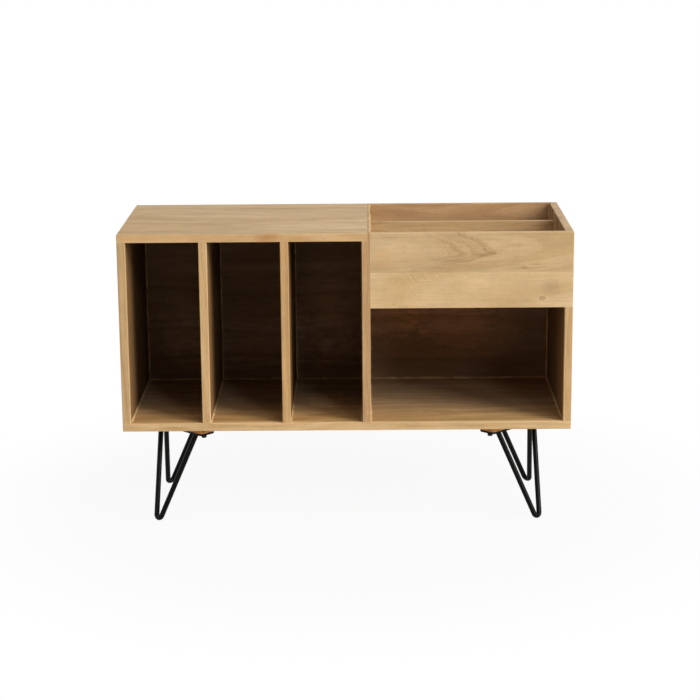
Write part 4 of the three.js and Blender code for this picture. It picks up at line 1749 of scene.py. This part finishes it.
@dataclass
class Studio:
    """A plain white floor, soft lamps and the camera.

    The camera's numbers come from a fit to the corners of the cabinet.

    Attributes:
        camera_place: Place of the camera, in metres.
        pitch: How far the camera looks down, in radians.
        yaw: Its turn about the upright, in radians.
        roll: Its turn about the line of sight, in radians.
        focal_share: Focal length in parts of the picture's width.
        sensor: Width of the camera's sensor, in millimetres.
        lamp_target: The point that all lamps face, in metres.
        floor_size: Length of the floor's sides, in metres.
        floor_grey: Grey of the floor where it shows the stand's shadow.
        shadow_reach: Where the shadow starts to fade and where it has gone, in metres from the middle.
        shadow_share: Share of plain white that covers the shadow near the middle.
        ambient: Strength of the background as a light.
        lamps: The lamps.
    """

    camera_place: Point = (0.04744, -4.94619, 1.57255)
    pitch: float = 0.2329
    yaw: float = 0.0080
    roll: float = -0.0087
    focal_share: float = 1995.63 / 700
    sensor: float = 36.0
    lamp_target: Point = (0.0, 0.0, 0.45)
    floor_size: float = 7.0
    floor_grey: float = 0.5
    shadow_reach: tuple[float, float] = (0.55, 1.2)
    shadow_share: float = 0.93
    ambient: float = 0.06
    lamps: tuple[SoftBox, ...] = (
        SoftBox("right_low_softbox", 56.0, 12.0, 14.0, (6.0, 6.0), 980.0),
        SoftBox("right_middle_softbox", 54.0, 32.0, 14.0, (6.0, 6.0), 1090.0),
        SoftBox("right_high_softbox", 42.0, 67.0, 14.0, (6.8, 6.8), 430.0),
        SoftBox("rear_softbox", 168.0, 22.0, 14.0, (6.8, 6.8), 480.0),
        SoftBox("front_softbox", 24.0, 30.0, 14.0, (2.2, 2.6), 170.0, (0.90, 0.95, 1.0)),
        SoftBox("left_low_softbox", -56.0, 16.0, 14.0, (6.8, 6.8), 120.0),
        SoftBox("left_high_softbox", -56.0, 42.0, 14.0, (6.8, 6.8), 150.0),
    )

    def build(self) -> None:
        """Sets up floor, background, lamps, camera and view."""
        self._floor()
        self._background()
        for lamp in self.lamps:
            lamp.build(Vector(self.lamp_target))
        self._camera()
        bpy.context.scene.view_settings.view_transform = "Standard"
        log.info("studio ready")

    def _camera(self) -> None:
        """Places the camera.

        The view's own axes are roll about Z after pitch about X after yaw about Y, applied to
        (X, -Z, Y) of the frame. Their rows give the camera's right, down and forward.
        """
        roll = Matrix.Rotation(self.roll, 3, "Z")
        pitch = Matrix.Rotation(self.pitch, 3, "X")
        yaw = Matrix.Rotation(self.yaw, 3, "Y")
        right, down, forward = (Vector((row[0], row[2], -row[1])) for row in roll @ pitch @ yaw)
        data = bpy.data.cameras.new("camera")
        data.sensor_width = self.sensor
        data.lens = self.sensor * self.focal_share
        data.clip_end = 100.0
        camera = new_object("camera", data)
        pose = Matrix((right, -down, -forward)).transposed().to_4x4()
        pose.translation = Vector(self.camera_place)
        camera.matrix_world = pose
        bpy.context.scene.camera = camera

    def _floor(self) -> None:
        """Lays a white floor that looks white and still takes the stand's shadow."""
        half = self.floor_size / 2
        mesh = bpy.data.meshes.new("floor")
        corners = [(-half, -half, 0), (half, -half, 0), (half, half, 0), (-half, half, 0)]
        mesh.from_pydata(corners, [], [(0, 1, 2, 3)])
        material, sheet, shader = new_material("floor_paint")
        shader.inputs["Base Color"].default_value = (self.floor_grey,) * 3 + (1.0,)
        shader.inputs["Roughness"].default_value = 0.9
        shader.inputs["Specular IOR Level"].default_value = 0.0
        seen = self._seen_directly(sheet)
        away = sheet.vector("LENGTH", sheet.place())
        share = sheet.span(away, *self.shadow_reach, self.shadow_share, 1.0)
        white = sheet.node("ShaderNodeEmission")
        mixed = sheet.node("ShaderNodeMixShader")
        sheet.feed(mixed.inputs[0], sheet.math("MULTIPLY", seen, share))
        sheet.feed(mixed.inputs[1], shader.outputs[0])
        sheet.feed(mixed.inputs[2], white.outputs[0])
        output = material.node_tree.nodes["Material Output"]
        sheet.feed(output.inputs["Surface"], mixed.outputs[0])
        mesh.materials.append(material)
        new_object("floor", mesh)

    def _background(self) -> None:
        """Makes the world white to the eye and in reflections, and a weak grey light elsewhere."""
        world = bpy.data.worlds.new("studio")
        bpy.context.scene.world = world
        world.use_nodes = True
        sheet = NodeSheet(world.node_tree)
        background = world.node_tree.nodes["Background"]
        background.inputs["Color"].default_value = (1.0, 1.0, 1.0, 1.0)
        seen = self._seen_directly(sheet)
        sheet.feed(background.inputs["Strength"], sheet.span(seen, 0.0, 1.0, self.ambient, 1.0))

    @staticmethod
    def _seen_directly(sheet: NodeSheet) -> bpy.types.NodeSocket:
        """Tells what is looked at from what only gives light.

        Args:
            sheet: The sheet of nodes.

        Returns:
            1 for what the eye, a reflection or a clear piece looks at, and 0 for light.
        """
        path = sheet.node("ShaderNodeLightPath").outputs
        seen = sheet.math("MAXIMUM", path["Is Camera Ray"], path["Is Glossy Ray"])
        return sheet.math("MAXIMUM", seen, path["Is Transmission Ray"])


COMPARTMENTS = (
    *(
        FillerBeads(
            f"slot_{number}_filler_bead",
            low=(sides[0], BEAD_MOUTH_Y, BASE_TOP_Z),
            high=(sides[1], BACK_BOARD_Y, TOP_UNDERSIDE_Z),
            seed=number,
        )
        for number, sides in enumerate(SLOT_SIDES, 1)
    ),
    FillerBeads(
        "bay_filler_bead",
        low=(BAY_SIDES[0], BEAD_MOUTH_Y, BASE_TOP_Z),
        high=(BAY_SIDES[1], BACK_BOARD_Y, BIN_FLOOR_Z[0]),
        seed=4,
    ),
    FillerBeads(
        "bin_front_filler_bead",
        low=(BAY_SIDES[0], BIN_FRONT_Y, BIN_FLOOR_Z[1]),
        high=(BAY_SIDES[1], BIN_DIVIDER_Y[0], BEAD_TOP_Z),
        front=True,
        seed=5,
    ),
    FillerBeads(
        "bin_rear_filler_bead",
        low=(BAY_SIDES[0], BIN_DIVIDER_Y[1], BIN_FLOOR_Z[1]),
        high=(BAY_SIDES[1], BACK_BOARD_Y, BEAD_TOP_Z),
        front=True,
        seed=6,
    ),
)

# Each leg's name, the middle of its plate along X and Y, and the way its foot points, in degrees from X.
LEG_PLACES = (
    ("front_left", (-0.423, -0.105), -135.0),
    ("front_right", (0.423, -0.105), -45.0),
    ("rear_left", (-0.423, 0.105), 135.0),
    ("rear_right", (0.423, 0.105), 45.0),
)

# Knots on the wooden blocks, by leg.
BLOCK_KNOTS = {
    "front_left": (Knot((-0.3540, -0.1945, 0.2435), (0.006, 0.006, 0.006), 0.95),),
    "rear_right": (Knot((0.3700, 0.1350, 0.2430), (0.005, 0.005, 0.004), 0.8),),
}


def main() -> None:
    """Builds and dresses every sub-assembly of the stand, in order, and sets up the studio."""
    logging.basicConfig(level=logging.INFO, format="%(name)s: %(message)s")
    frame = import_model()
    nodes = frame["nodes"]
    Studio().build()
    Carcass().dress(nodes)
    RecordBin().dress(nodes)
    paste = FillerPaste().material("filler_paste")
    for beads in COMPARTMENTS:
        beads.build(paste)
    coat = BlackSteel().material("satin_black_coat")
    plate_coat = BlackSteel(rough=0.42, speck=1300.0).material("plate_black_coat")
    bolt = BlackSteel(deep=shade(38, 37, 36), rubbed=shade(70, 68, 64), rough=0.38).material("blackened_bolt")
    for name, place, direction in LEG_PLACES:
        leg = HairpinLeg(name, place, math.radians(direction - 90.0), BLOCK_KNOTS.get(name, ()))
        leg.build(coat)
        leg.dress(nodes, plate_coat, bolt)
    turned_dowel = BoardFinish(Lay.UPRIGHT, seed=90.0, tones=DOWEL_TONES, stave=1.0, edge_highlight=0.0)
    for name, node in nodes.items():
        if name.startswith("dowel_"):
            turned_dowel.dress(node)
    log.info("done")


if __name__ == "__main__":
    main()
